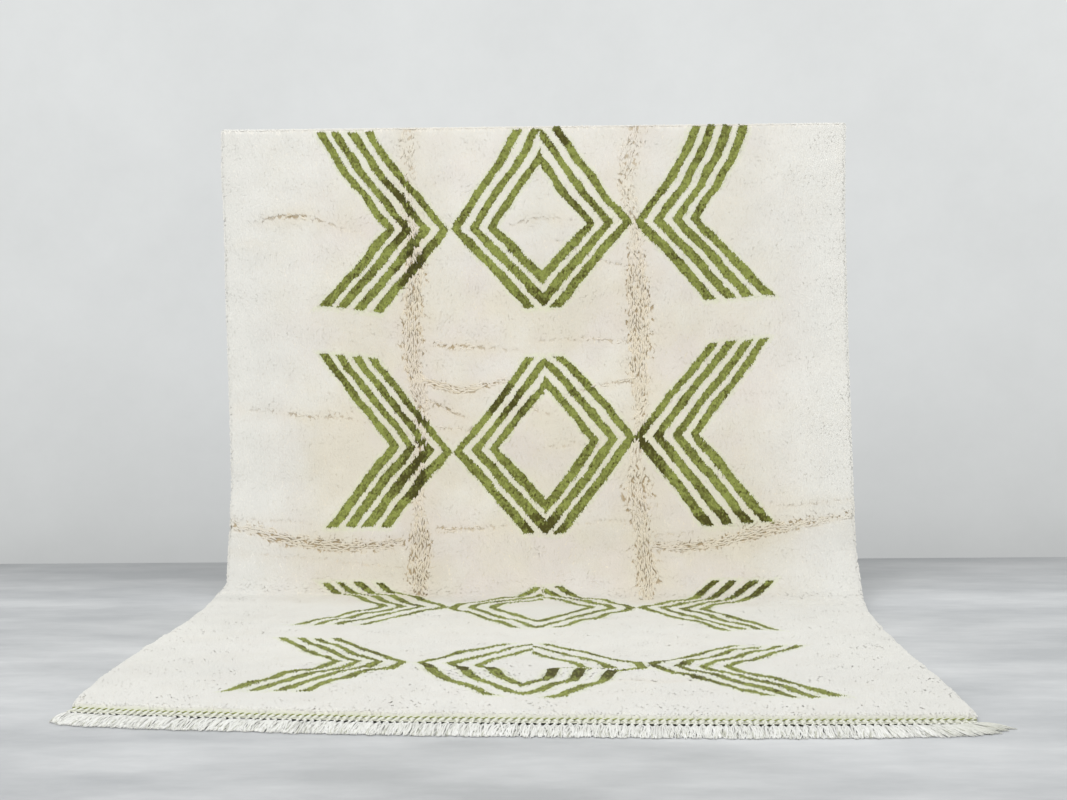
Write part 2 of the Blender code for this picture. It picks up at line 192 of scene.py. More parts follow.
# A row is drawn about its crossing line. Apexes are distances from the middle line, rings are half widths,
# and both are the middles of their stripes. An arm is how far the stripes reach sideways at heights above (-)
# and below (+) the crossing line. Stripe halves are half a stripe's width, and spreads are how much the
# arrowheads' stripes draw apart for each metre down. Both are given above and below the crossing line.
Row = namedtuple(
    "Row",
    "crossing top bottom left_apexes right_apexes centre rings arms stripe_halves left_spread right_spread",
)
Arms = namedtuple("Arms", "left ring_left ring_right right")
ROWS = (
    Row(
        crossing=((-0.45, 0.330), (-0.258, 0.336), (0.33, 0.321), (0.52, 0.314)),
        top=((-0.68, 0.012), (-0.05, 0.010), (0.075, 0.010), (0.095, -0.012), (0.13, -0.012), (0.45, 0.004)),
        bottom=((-0.66, 0.578), (-0.48, 0.602), (0.10, 0.592), (0.57, 0.577), (0.75, 0.565)),
        left_apexes=(0.4549, 0.4002, 0.3409, 0.2796),
        right_apexes=(0.3512, 0.4103, 0.4681, 0.5244),
        centre=0.0353,
        rings=(0.280, 0.2206, 0.160),
        arms=Arms(
            left=((-0.30, 0.221), (-0.20, 0.159), (-0.10, 0.080), (0, 0), (0.10, 0.081), (0.25, 0.213)),
            ring_left=((-0.30, 0.195), (-0.20, 0.139), (-0.10, 0.067), (0, 0), (0.10, 0.099), (0.25, 0.229)),
            ring_right=((-0.30, 0.215), (-0.20, 0.148), (-0.10, 0.084), (0, 0), (0.10, 0.096), (0.25, 0.224)),
            right=((-0.30, 0.171), (-0.20, 0.132), (-0.10, 0.073), (0, 0), (0.10, 0.092), (0.25, 0.223)),
        ),
        stripe_halves=(0.0150, 0.0190),
        left_spread=(0.36, 0.29),
        right_spread=(0.46, 0.39),
    ),
    Row(
        crossing=((-0.45, 1.036), (-0.255, 1.057), (0.325, 1.015), (0.51, 1.010)),
        top=((-0.67, 0.732), (-0.50, 0.750), (0.10, 0.754), (0.56, 0.717), (0.74, 0.704)),
        bottom=((-0.65, 1.304), (-0.47, 1.305), (0.0, 1.325), (0.1, 1.325), (0.55, 1.303), (0.73, 1.288)),
        left_apexes=(0.4452, 0.3902, 0.3340, 0.2760),
        right_apexes=(0.3408, 0.4008, 0.4624, 0.5195),
        centre=0.0374,
        rings=(0.2783, 0.221, 0.163),
        arms=Arms(
            left=((-0.30, 0.242), (-0.20, 0.166), (-0.10, 0.086), (0, 0), (0.10, 0.084), (0.25, 0.190)),
            ring_left=((-0.30, 0.245), (-0.19, 0.163), (-0.10, 0.089), (0, 0), (0.10, 0.085), (0.25, 0.204)),
            ring_right=((-0.30, 0.246), (-0.20, 0.153), (-0.10, 0.075), (0, 0), (0.10, 0.071), (0.25, 0.197)),
            right=((-0.30, 0.234), (-0.20, 0.159), (-0.10, 0.075), (0, 0), (0.10, 0.078), (0.25, 0.191)),
        ),
        stripe_halves=(0.0152, 0.0188),
        left_spread=(0.40, 0.10),
        right_spread=(0.53, 0.30),
    ),
    Row(
        crossing=((-0.45, 1.720), (-0.254, 1.712), (0.319, 1.712), (0.51, 1.720)),
        top=((-0.67, 1.490), (-0.49, 1.492), (0.0, 1.518), (0.10, 1.514), (0.55, 1.492), (0.73, 1.492)),
        bottom=((-0.67, 1.992), (-0.50, 1.987), (0.017, 2.012), (0.10, 2.014), (0.54, 2.022), (0.73, 2.014)),
        left_apexes=(0.449, 0.392, 0.333, 0.262),
        right_apexes=(0.333, 0.393, 0.456, 0.512),
        centre=0.032,
        rings=(0.272, 0.213, 0.151),
        arms=Arms(
            left=((-0.212, 0.209), (-0.182, 0.177), (-0.163, 0.115), (-0.103, 0.078), (0, 0), (0.267, 0.208)),
            ring_left=((-0.174, 0.227), (-0.105, 0.131), (-0.067, 0.032), (0.02, 0.003), (0.286, 0.203)),
            ring_right=(
                (-0.175, 0.200), (-0.137, 0.158), (-0.105, 0.085),
                (-0.037, 0.019), (0, 0), (0.281, 0.205),
            ),
            right=(
                (-0.205, 0.213), (-0.158, 0.177), (-0.116, 0.124),
                (-0.087, 0.067), (0, 0), (0.258, 0.174),
            ),
        ),
        stripe_halves=(0.0140, 0.0120),
        left_spread=(0.36, 0.0),
        right_spread=(0.30, -0.65),
    ),
    Row(
        crossing=((-0.45, 2.465), (-0.286, 2.465), (-0.248, 2.460), (0.318, 2.462), (0.51, 2.455)),
        top=((-0.67, 2.184), (-0.50, 2.178), (-0.03, 2.218), (0.08, 2.218), (0.55, 2.221), (0.72, 2.212)),
        bottom=((-0.67, 2.754), (-0.48, 2.745), (0.03, 2.757), (0.08, 2.780), (0.57, 2.736), (0.73, 2.727)),
        left_apexes=(0.452, 0.398, 0.345, 0.288),
        right_apexes=(0.328, 0.390, 0.452, 0.512),
        centre=0.029,
        rings=(0.272, 0.198, 0.131),
        arms=Arms(
            left=((-0.258, 0.195), (-0.117, 0.088), (0, 0), (0.05, 0.030), (0.102, 0.095), (0.264, 0.188)),
            ring_left=(
                (-0.228, 0.189), (-0.13, 0.093), (0, 0.004),
                (0.072, 0.038), (0.16, 0.09), (0.273, 0.184),
            ),
            ring_right=(
                (-0.191, 0.184), (-0.019, 0.010), (0.035, -0.004),
                (0.058, 0.062), (0.148, 0.094), (0.298, 0.201),
            ),
            right=((-0.205, 0.186), (-0.064, 0.054), (0, 0), (0.05, 0.038), (0.099, 0.093), (0.245, 0.209)),
        ),
        stripe_halves=(0.0120, 0.0145),
        left_spread=(0.20, 0.15),
        right_spread=(0.37, -0.50),
    ),
)


STRIPE_TRIM = 0.0004
RING_BLUNT = 0.006


def reach_at(arm, below):
    """How far an arm reaches sideways, going on at its last slope past its ends."""
    heights, reaches = np.array(arm).T
    reach = np.interp(below, heights, reaches)
    first = (reaches[1] - reaches[0]) / (heights[1] - heights[0])
    last = (reaches[-1] - reaches[-2]) / (heights[-1] - heights[-2])
    reach = reach + np.minimum(below - heights[0], 0) * first
    return reach + np.maximum(below - heights[-1], 0) * last


def arrowheads(sideways, below, apexes, arm, spread):
    """How far each place is sideways from the middle of the nearest stripe of nested arrowheads."""
    middle = np.mean(apexes)
    apart = 1 + np.where(below < 0, spread[0], spread[1]) * below
    off = np.full(np.shape(sideways), 1.0)
    for apex in apexes:
        stripe = reach_at(arm, below) + middle + (apex - middle) * apart
        off = np.minimum(off, np.abs(sideways - stripe))
    return off


def olive_depth(across, along):
    """How far inside an olive stripe each place is, in metres, and below zero in the ivory."""
    along = bowed(across, along)
    shake = 0.0014 * ripple(across, along, 0.055, 31) + 0.0004 * ripple(across, along, 0.018, 32)
    drift = 0.0018 * ripple(across, along, 0.13, 33)
    inside = np.full(np.shape(across), -1.0)
    for row in ROWS:
        below = along - read_off(row.crossing, across)
        half = np.interp(below, (0.0, 0.04), row.stripe_halves) - STRIPE_TRIM
        off_left = arrowheads(drift - across, below, row.left_apexes, row.arms.left, row.left_spread)
        off_right = arrowheads(drift + across, below, row.right_apexes, row.arms.right, row.right_spread)
        left_reach = reach_at(row.arms.ring_left, below)
        right_reach = reach_at(row.arms.ring_right, below)
        from_centre = np.hypot(across - row.centre, RING_BLUNT)
        outwards = from_centre + np.where(across < row.centre, left_reach, right_reach) + drift
        off_ring = np.min([np.abs(outwards - ring) for ring in row.rings], axis=0)
        found = half + shake - np.minimum(np.minimum(off_left, off_right), off_ring)
        found = np.minimum(found, along - read_off(row.top, across) + shake)
        found = np.minimum(found, read_off(row.bottom, across) - along + shake)
        inside = np.maximum(inside, found)
    return inside


# Places where the olive wool is darker, partly uneven dye and partly painted shade in the folds and where its
# cut ends face the viewer, as (across, along, half size across, half size along, how much darker).
OLIVE_DYE_AND_SHADE = (
    (-0.448, 0.200, 0.038, 0.046, 0.70),
    (-0.410, 0.250, 0.050, 0.050, 0.35),
    (-0.430, 0.335, 0.032, 0.042, 0.60),
    (-0.325, 0.378, 0.028, 0.030, 0.80),
    (-0.370, 0.425, 0.030, 0.034, 0.90),
    (-0.415, 0.475, 0.030, 0.034, 0.80),
    (0.099, 0.043, 0.026, 0.040, 1.00),
    (0.150, 0.260, 0.060, 0.120, 0.30),
    (0.045, 0.554, 0.050, 0.036, 0.60),
    (-0.375, 0.925, 0.050, 0.055, 0.55),
    (-0.372, 1.070, 0.048, 0.055, 0.60),
    (-0.385, 1.165, 0.055, 0.048, 0.70),
    (-0.085, 0.885, 0.080, 0.045, 0.75),
    (0.028, 1.290, 0.066, 0.036, 0.95),
    (0.384, 1.069, 0.062, 0.095, 0.85),
    (0.632, 1.275, 0.110, 0.026, 0.90),
    (0.613, 1.528, 0.126, 0.040, 0.80),
    (-0.543, 1.512, 0.125, 0.028, 0.50),
    (-0.372, 1.628, 0.045, 0.078, 0.45),
    (-0.397, 2.344, 0.100, 0.138, 0.25),
    (-0.212, 2.488, 0.026, 0.034, 0.80),
    (-0.137, 2.503, 0.032, 0.034, 0.95),
    (-0.062, 2.510, 0.028, 0.034, 0.95),
    (0.091, 2.545, 0.024, 0.032, 0.95),
    (0.146, 2.542, 0.026, 0.034, 0.95),
    (0.212, 2.536, 0.034, 0.036, 0.95),
    (0.351, 2.430, 0.050, 0.070, 0.60),
    (0.459, 2.591, 0.070, 0.070, 0.50),
)


def olive_shade(across, along):
    """How dark the olive wool is at each place, from 0 to about 1: uneven dye, with painted shade at the
    folds.
    """
    along = bowed(across, along)
    deep = 0.30 + 0.16 * ripple(across, along, 0.21, 41) + 0.12 * ripple(across, along, 0.05, 42)
    for at_across, at_along, half_across, half_along, darker in OLIVE_DYE_AND_SHADE:
        off = ((across - at_across) / half_across) ** 2 + ((along - at_along) / half_along) ** 2
        deep = deep + darker * np.clip(1.6 - off, 0, 1) * 0.8
    return np.clip(deep, 0, 1.15)


# ---- The folds of the pile --------------------------------------------------------------------------------
# The rug was stored folded in three lengthwise and several times across. Along those folds the pile has
# parted and felted into ropey locks, with painted warm brown shadow between them.

# A fold is a line of places, as (across, along, half width, how far the pile has parted there, from 0 to 1).
FOLD_LINES = (
    (
        (-0.388, 0.000, 0.030, 0.30),
        (-0.390, 0.060, 0.034, 0.35),
        (-0.396, 0.150, 0.031, 0.32),
        (-0.409, 0.220, 0.026, 0.30),
        (-0.375, 0.351, 0.030, 0.62),
        (-0.376, 0.481, 0.035, 0.86),
        (-0.386, 0.594, 0.037, 1.00),
        (-0.387, 0.707, 0.037, 1.00),
        (-0.388, 0.773, 0.032, 0.90),
        (-0.372, 0.838, 0.034, 0.75),
        (-0.356, 0.904, 0.026, 0.65),
        (-0.366, 1.017, 0.028, 0.55),
        (-0.374, 1.149, 0.022, 0.60),
        (-0.372, 1.215, 0.017, 0.85),
        (-0.364, 1.275, 0.022, 0.95),
        (-0.361, 1.345, 0.040, 1.00),
        (-0.361, 1.400, 0.036, 1.00),
        (-0.365, 1.463, 0.041, 1.00),
        (-0.359, 1.535, 0.022, 0.95),
    ),
    (
        (0.346, 0.010, 0.038, 0.40),
        (0.322, 0.110, 0.040, 0.38),
        (0.300, 0.190, 0.026, 0.45),
        (0.325, 0.267, 0.028, 0.38),
        (0.339, 0.365, 0.019, 0.60),
        (0.341, 0.461, 0.034, 0.92),
        (0.345, 0.574, 0.039, 1.00),
        (0.345, 0.702, 0.037, 1.00),
        (0.344, 0.800, 0.035, 0.92),
        (0.349, 0.897, 0.029, 0.75),
        (0.338, 0.993, 0.019, 0.40),
        (0.331, 1.085, 0.021, 0.45),
        (0.336, 1.170, 0.045, 0.80),
        (0.340, 1.215, 0.046, 0.85),
        (0.345, 1.260, 0.036, 0.90),
        (0.341, 1.303, 0.024, 0.80),
        (0.353, 1.363, 0.039, 1.00),
        (0.358, 1.450, 0.040, 1.00),
        (0.354, 1.520, 0.032, 1.00),
        (0.351, 1.575, 0.018, 0.90),
    ),
    (
        (-0.914, 0.305, 0.008, 0.25),
        (-0.828, 0.283, 0.011, 0.70),
        (-0.780, 0.280, 0.013, 0.85),
        (-0.733, 0.284, 0.011, 0.75),
        (-0.619, 0.321, 0.009, 0.35),
        (-0.535, 0.342, 0.008, 0.20),
    ),
    ((-0.955, 0.363, 0.007, 0.20), (-0.909, 0.364, 0.007, 0.25), (-0.850, 0.372, 0.006, 0.10)),
    (
        (-0.324, 0.702, 0.012, 0.70),
        (-0.249, 0.713, 0.013, 0.85),
        (-0.168, 0.717, 0.012, 0.60),
        (-0.095, 0.724, 0.010, 0.42),
        (-0.022, 0.729, 0.009, 0.35),
    ),
    (
        (-0.005, 0.700, 0.008, 0.30),
        (0.091, 0.698, 0.009, 0.45),
        (0.220, 0.691, 0.010, 0.55),
        (0.258, 0.704, 0.010, 0.55),
        (0.316, 0.708, 0.010, 0.50),
    ),
    (
        (-0.066, 0.325, 0.008, 0.35),
        (-0.001, 0.307, 0.010, 0.50),
        (0.047, 0.301, 0.010, 0.50),
        (0.137, 0.313, 0.008, 0.30),
    ),
    (
        (0.050, 0.372, 0.007, 0.25),
        (0.111, 0.386, 0.008, 0.40),
        (0.223, 0.440, 0.008, 0.45),
        (0.303, 0.467, 0.009, 0.50),
    ),
    (
        (-0.377, 0.816, 0.012, 0.85),
        (-0.299, 0.839, 0.014, 0.90),
        (-0.234, 0.857, 0.013, 0.90),
        (-0.169, 0.845, 0.011, 0.70),
        (-0.088, 0.826, 0.009, 0.40),
    ),
    ((-0.365, 0.874, 0.012, 0.80), (-0.283, 0.914, 0.012, 0.75), (-0.215, 0.946, 0.009, 0.50)),
    (
        (-0.310, 0.974, 0.009, 0.50),
        (-0.251, 0.986, 0.010, 0.60),
        (-0.203, 0.983, 0.009, 0.45),
        (-0.130, 0.968, 0.007, 0.20),
    ),
    ((-0.105, 0.904, 0.007, 0.35), (0.009, 0.918, 0.009, 0.50), (0.055, 0.938, 0.009, 0.45)),
    ((0.130, 0.868, 0.008, 0.35), (0.250, 0.841, 0.010, 0.60), (0.325, 0.829, 0.011, 0.70)),
    ((0.000, 1.052, 0.008, 0.30), (0.120, 1.036, 0.010, 0.50), (0.215, 1.036, 0.009, 0.40)),
    (
        (-0.966, 0.912, 0.009, 0.35),
        (-0.860, 0.914, 0.010, 0.40),
        (-0.796, 0.926, 0.012, 0.55),
        (-0.740, 0.938, 0.013, 0.70),
        (-0.690, 0.936, 0.011, 0.60),
        (-0.620, 0.938, 0.011, 0.50),
        (-0.540, 0.955, 0.009, 0.35),
    ),
    ((-0.700, 0.918, 0.007, 0.25), (-0.595, 0.923, 0.008, 0.30), (-0.50, 0.915, 0.006, 0.15)),
    (
        (-0.994, 1.295, 0.016, 0.45),
        (-0.897, 1.315, 0.021, 0.65),
        (-0.827, 1.334, 0.024, 0.85),
        (-0.725, 1.352, 0.024, 0.90),
        (-0.592, 1.363, 0.023, 0.85),
        (-0.494, 1.360, 0.020, 0.75),
        (-0.420, 1.348, 0.018, 0.75),
    ),
    ((-1.0, 1.279, 0.009, 0.45), (-0.796, 1.283, 0.008, 0.40), (-0.640, 1.304, 0.006, 0.20)),
    ((-0.99, 1.381, 0.007, 0.30), (-0.723, 1.404, 0.009, 0.40), (-0.420, 1.436, 0.009, 0.42)),
    (
        (-0.300, 1.308, 0.013, 0.80),
        (-0.210, 1.309, 0.012, 0.70),
        (-0.139, 1.304, 0.010, 0.45),
        (-0.026, 1.291, 0.009, 0.35),
    ),
    ((0.120, 1.296, 0.008, 0.25), (0.260, 1.283, 0.009, 0.45), (0.320, 1.290, 0.009, 0.50)),
    ((0.386, 1.324, 0.008, 0.40), (0.440, 1.326, 0.008, 0.45), (0.520, 1.318, 0.006, 0.25)),
    (
        (0.385, 1.360, 0.016, 0.65),
        (0.464, 1.368, 0.021, 0.80),
        (0.526, 1.361, 0.022, 0.80),
        (0.589, 1.352, 0.022, 0.85),
        (0.667, 1.332, 0.023, 0.90),
        (0.744, 1.310, 0.022, 0.85),
        (0.835, 1.292, 0.018, 0.65),
        (0.985, 1.264, 0.014, 0.45),
    ),
    ((0.640, 1.250, 0.009, 0.40), (0.838, 1.233, 0.009, 0.45), (0.99, 1.218, 0.008, 0.40)),
    ((0.240, 2.585, 0.009, 0.30), (0.330, 2.592, 0.010, 0.45), (0.420, 2.575, 0.009, 0.25)),
)
FOLDS = [np.array(line) for line in FOLD_LINES]
CREASE = 0.0135
CREASE_PARTS = 0.6
NARROW_FOLD = 0.0185
CRACK_REACH = 0.03
FOLD_SHADE_REACH = 0.012

# Low ridges and hollows that the folds leave in the cloth itself, each along a line of places.
Swell = namedtuple("Swell", "places half height")
SWELLS = (
    Swell(((-1.0, 1.52), (-0.55, 1.54), (0.0, 1.557), (0.5, 1.58), (1.0, 1.573)), 0.022, -0.0055),
    Swell(((-0.62, 2.47), (-0.3, 2.455), (-0.19, 2.5), (0, 2.53), (0.2, 2.506), (0.42, 2.41)), 0.030, 0.0062),
    Swell(((-0.35, 0.0), (-0.32, 0.75), (-0.31, 1.5)), 0.030, 0.0020),
    Swell(((0.42, 0.0), (0.425, 0.75), (0.43, 1.55)), 0.030, 0.0020),
    Swell(((-1.0, 1.25), (-0.7, 1.305), (-0.40, 1.315)), 0.024, 0.0020),
    Swell(((0.42, 1.32), (0.66, 1.285), (1.0, 1.215)), 0.022, 0.0020),
)


def near_line(across, along, places):
    """The distance of each place from a line of places, how far along the line its nearest point is, and on
    which side of the line it is, as 1 or -1."""
    line = np.array(places, dtype=float)
    nearest = np.full(np.shape(across), 9.0)
    share = np.zeros(np.shape(across))
    side = np.ones(np.shape(across))
    for number, (start, end) in enumerate(zip(line[:-1], line[1:])):
        step = end - start
        from_start = (across - start[0], along - start[1])
        run = np.clip((from_start[0] * step[0] + from_start[1] * step[1]) / (step @ step), 0, 1)
        off = np.hypot(from_start[0] - run * step[0], from_start[1] - run * step[1])
        closer = off < nearest
        nearest = np.where(closer, off, nearest)
        share = np.where(closer, number + run, share)
        side = np.where(closer, np.sign(step[0] * from_start[1] - step[1] * from_start[0]), side)
    return nearest, share, side


def beside_fold(fold, across, along, spare):
    """Which places are in the box round a fold, and for these how far from it, on which side and how far
    along it they are, and its half width and its parting there."""
    low, high = fold[:, :2].min(axis=0) - spare, fold[:, :2].max(axis=0) + spare
    near = (across > low[0]) & (across < high[0]) & (along > low[1]) & (along < high[1])
    off, share, side = near_line(across[near], along[near], fold[:, :2])
    half, parted = (np.interp(share, np.arange(len(fold)), fold[:, column]) for column in (2, 3))
    return near, off, side, share, half, parted


def parting(across, along):
    """How far the pile has parted at each place, from 0 to 1."""
    parted = np.zeros(np.shape(across))
    ragged = 1 + 0.26 * ripple(across, along, 0.045, 51) + 0.16 * ripple(across, along, 0.018, 52)
    for fold in FOLDS:
        widest = fold[:, 2].max()
        near, off, _, _, half, strength = beside_fold(fold, across, along, 2 * widest)
        strength = strength * (CREASE_PARTS if widest < CREASE else 1.0)
        found = strength * np.clip((1.35 - off / (half * ragged[near])) / 0.8, 0, 1)
        parted[near] = np.maximum(parted[near], found)
    return parted


def painted_fold_shade(across, along):
    """How much painted shade lies in a soft beige band round each fold, from 0 to 1."""
    found = np.zeros(np.shape(across))
    for fold in FOLDS:
        reach = 1.4 * fold[:, 2].max() + FOLD_SHADE_REACH
        near, off, _, _, _, strength = beside_fold(fold, across, along, 2 * reach)
        found[near] = np.maximum(found[near], strength * np.exp(-((off / reach) ** 2)))
    return found * (1 + 0.25 * ripple(across, along, 0.09, 57))


def stops_at_crack(across, along, tip_across, tip_along):
    """Which share of each tuft's reach is left where a crack of a narrow fold opens in front of its tip."""
    left = np.ones(np.shape(across))
    wobble = 0.0032 * ripple(across, along, 0.060, 53) + 0.0014 * ripple(across, along, 0.020, 54)
    opened = 0.5 + 0.5 * ripple(across, along, 0.034, 55)
    for fold in FOLDS:
        if fold[:, 2].max() > NARROW_FOLD:
            continue
        near, off, side, share, _, strength = beside_fold(fold, across, along, CRACK_REACH)
        from_root = off * side + wobble[near]
        off, _, side = near_line(tip_across[near], tip_along[near], fold[:, :2])
        from_tip = off * side + wobble[near]
        crossed = (from_root * from_tip < 0) & (strength * 1.15 > opened[near] + 0.10)
        crossed &= (share > 0) & (share < len(fold) - 1)
        kept = np.abs(from_root) / (np.abs(from_root) + np.abs(from_tip) + 1e-9) * 0.85
        left[near] = np.where(crossed, np.minimum(left[near], kept), left[near])
    return left


# ---- The woven ground -------------------------------------------------------------------------------------
# Rows of wool knots packed down on cotton warps. The knots' roots make a close nap under the pile, and their
# backs, with two thin wefts between rows, make the ribbed back, where the pattern shows too.

PILE_HEIGHT = 0.024
NAP_BELOW_TIPS = 0.0040
PARTED_SINKS = 0.0035
RIM_HEIGHT = 0.62
RIM_ROUND = 0.012
LUMP = 0.0011
LUMP_WAVES = ((5.9, 1.8), (3.7, -6.5), (0.0, 8.4))
GROUND_PITCH = 0.0125
RIM_ENDS = (0.0, 0.0025, 0.006, 0.011)
SOFTNESS = 0.72

# Wool colours, as linear red, green and blue.
WHITE_IVORY = (0.855, 0.838, 0.79)
WARM_IVORY = (0.80, 0.745, 0.635)
PINK_IVORY = (0.80, 0.735, 0.665)
WHITE_ROOT = (0.88, 0.86, 0.81)
IVORY_ROOT_SHADE = (0.74, 0.67, 0.56)
WHITE_NAP = (0.86, 0.83, 0.77)
WARM_NAP = (0.79, 0.72, 0.60)
PARTED_ROOT_SHADOW = (0.46, 0.36, 0.23)
FELTED_IVORY = (0.80, 0.70, 0.53)
HALO_AND_SHADE_IVORY = (0.77, 0.805, 0.54)
OLIVE_LIGHT = (0.30, 0.335, 0.085)
OLIVE_DEEP = (0.080, 0.072, 0.014)
OLIVE_ROOT_SHADE = (0.12, 0.125, 0.030)
BACK_IVORY = (0.66, 0.61, 0.50)
BACK_BROWN = (0.52, 0.45, 0.34)
BACK_SHADOW = (0.30, 0.265, 0.20)

# How beige the ivory wool is, and which share of its brightness painted shade takes away, at places along the
# rug.
BEIGE = ((0, 0.40), (0.10, 0.50), (0.60, 0.75), (1.25, 1.0), (1.52, 0.95), (1.72, 0.10), (2.85, 0.10))
SHADE_ALONG = (
    (0, 0.045), (0.30, 0.045), (0.90, 0.020), (1.20, 0.050), (1.40, 0.095),
    (1.56, 0.095), (1.68, 0.010), (2.20, 0.028), (2.55, 0.080), (2.85, 0.090),
)


def rim_share(across, along):
    """How full the pile is: it rounds off at the rim."""
    from_side = np.clip((RUG_WIDTH / 2 - np.abs(across)) / RIM_ROUND, 0, 1)
    from_end = np.clip(np.minimum(along, RUG_LENGTH - along) / RIM_ROUND, 0, 1)
    side = RIM_HEIGHT + (1 - RIM_HEIGHT) * np.sin(from_side * math.pi / 2)
    return side * (RIM_HEIGHT + (1 - RIM_HEIGHT) * np.sin(from_end * math.pi / 2))


def pile_top(across, along, parted):
    """How high the pile's tips stand, before any lock strays."""
    lumps = sum(np.sin(2 * math.pi * (a * across + b * along)) for a, b in LUMP_WAVES)
    height = PILE_HEIGHT + LUMP * lumps - PARTED_SINKS * parted
    height = height + 0.0007 * ripple(across, along, 0.07, 61)
    for swell in SWELLS:
        off, _, _ = near_line(across, along, swell.places)
        height = height + swell.height * np.exp(-((off / swell.half) ** 2))
    return height * rim_share(across, along)


def warmth(across, along):
    """Where the ivory wool is beige, from 0 at the clean margins to 1 in the middle of the hanging part."""
    middle = np.clip((0.93 - np.abs(across - 0.01)) / 0.30, 0, 1)
    uneven = 1 + 0.22 * ripple(across, along, 0.42, 71) + 0.10 * ripple(across, along, 0.11, 72)
    return np.clip(middle * read_off(BEIGE, along) * uneven, 0, 1)


def painted_shade(across, along):
    """How much painted shade darkens the ivory wool, as a share of its brightness."""
    uneven = 0.014 * ripple(across, along, 0.40, 73) + 0.010 * ripple(across, along, 0.12, 74)
    return np.clip(read_off(SHADE_ALONG, along) + uneven, 0, 0.2)


def new_mesh(name, points, faces, values, materials, soft=None):
    """A smooth-shaded piece from arrays of points, of faces with one number of corners, and of point values.
    Soft holds a direction for each point that its shading is drawn towards, as light soaks through wool."""
    mesh = bpy.data.meshes.new(name)
    points = np.asarray(points, dtype=np.float32)
    faces = np.asarray(faces, dtype=np.int32)
    mesh.vertices.add(len(points))
    mesh.vertices.foreach_set("co", points.ravel())
    mesh.loops.add(faces.size)
    mesh.loops.foreach_set("vertex_index", faces.ravel())
    mesh.polygons.add(len(faces))
    mesh.polygons.foreach_set("loop_start", np.arange(0, faces.size, faces.shape[1], dtype=np.int32))
    mesh.update(calc_edges=True)
    for title, value in values.items():
        layer = mesh.attributes.new(title, "FLOAT", "POINT")
        layer.data.foreach_set("value", np.asarray(value, dtype=np.float32).ravel())
    for finish in materials:
        mesh.materials.append(finish)
    mesh.shade_smooth()
    if soft is not None:
        own = np.zeros(3 * len(points), dtype=np.float32)
        mesh.vertex_normals.foreach_get("vector", own)
        turned = (1 - SOFTNESS) * own.reshape(-1, 3) + SOFTNESS * soft
        turned /= np.linalg.norm(turned, axis=1, keepdims=True)
        mesh.normals_split_custom_set_from_vertices(turned.astype(np.float32))
    piece = bpy.data.objects.new(name, mesh)
    bpy.context.scene.collection.objects.link(piece)
    return piece


class Finish:
    """A finish under construction: a Principled shader and the nodes that feed it."""

    def __init__(self, name, sheen=0.25):
        self.material = bpy.data.materials.new(name)
        self.material.use_nodes = True
        self.tree = self.material.node_tree
        self.shader = self.tree.nodes["Principled BSDF"]
        self.shader.inputs["Metallic"].default_value = 0.0
        self.shader.inputs["Specular IOR Level"].default_value = 0.18
        self.shader.inputs["Sheen Weight"].default_value = sheen
        self.shader.inputs["Sheen Roughness"].default_value = 0.55

    def node(self, kind, sockets=(), **settings):
        """A node with its settings, and its sockets set to a value or joined to another node's output."""
        made = self.tree.nodes.new(kind)
        for key, value in settings.items():
            setattr(made, key, value)
        for key, value in dict(sockets).items():
            if isinstance(value, bpy.types.NodeSocket):
                self.tree.links.new(value, made.inputs[key])
            else:
                made.inputs[key].default_value = value
        return made

    def value(self, title):
        """A point value that the mesh carries."""
        return self.node("ShaderNodeAttribute", attribute_name=title).outputs["Fac"]

    def place(self):
        """The piece's own coordinates, in metres."""
        return self.node("ShaderNodeTexCoord").outputs["Object"]

    def noise(self, vector, scale, detail=3.0, rough=0.55):
        """Fine unevenness between 0 and 1."""
        sockets = {"Vector": vector, "Scale": scale, "Detail": detail, "Roughness": rough}
        return self.node("ShaderNodeTexNoise", sockets).outputs["Fac"]

    def between(self, value, low, high, to_low=0.0, to_high=1.0):
        """A value brought from one range to another, and held at its ends."""
        sockets = {"Value": value, "From Min": low, "From Max": high, "To Min": to_low, "To Max": to_high}
        return self.node("ShaderNodeMapRange", sockets).outputs["Result"]

    def maths(self, operation, first, second):
        """One sum on two values."""
        return self.node("ShaderNodeMath", {0: first, 1: second}, operation=operation).outputs[0]

    def mix(self, share, first, second, blend="MIX"):
        """A blend of two colours."""
        made = self.node("ShaderNodeMix", data_type="RGBA", blend_type=blend)
        for socket, value in ((0, share), (6, first), (7, second)):
            if isinstance(value, bpy.types.NodeSocket):
                self.tree.links.new(value, made.inputs[socket])
            elif socket == 0:
                made.inputs[socket].default_value = value
            else:
                made.inputs[socket].default_value = (*value, 1.0)
        return made.outputs[2]

    def toned(self, colour, tone):
        """A colour made brighter or darker by a tone."""
        grey = self.node("ShaderNodeCombineColor", {"Red": tone, "Green": tone, "Blue": tone})
        return self.mix(1.0, colour, grey.outputs["Color"], blend="MULTIPLY")

    def done(self, colour, rough, bump, distance, strength=0.6):
        """Joins the colour, roughness and bump to the shader."""
        raised = self.node("ShaderNodeBump", {"Height": bump, "Distance": distance, "Strength": strength})
        self.tree.links.new(colour, self.shader.inputs["Base Color"])
        self.tree.links.new(rough, self.shader.inputs["Roughness"])
        self.tree.links.new(raised.outputs["Normal"], self.shader.inputs["Normal"])
        return self.material


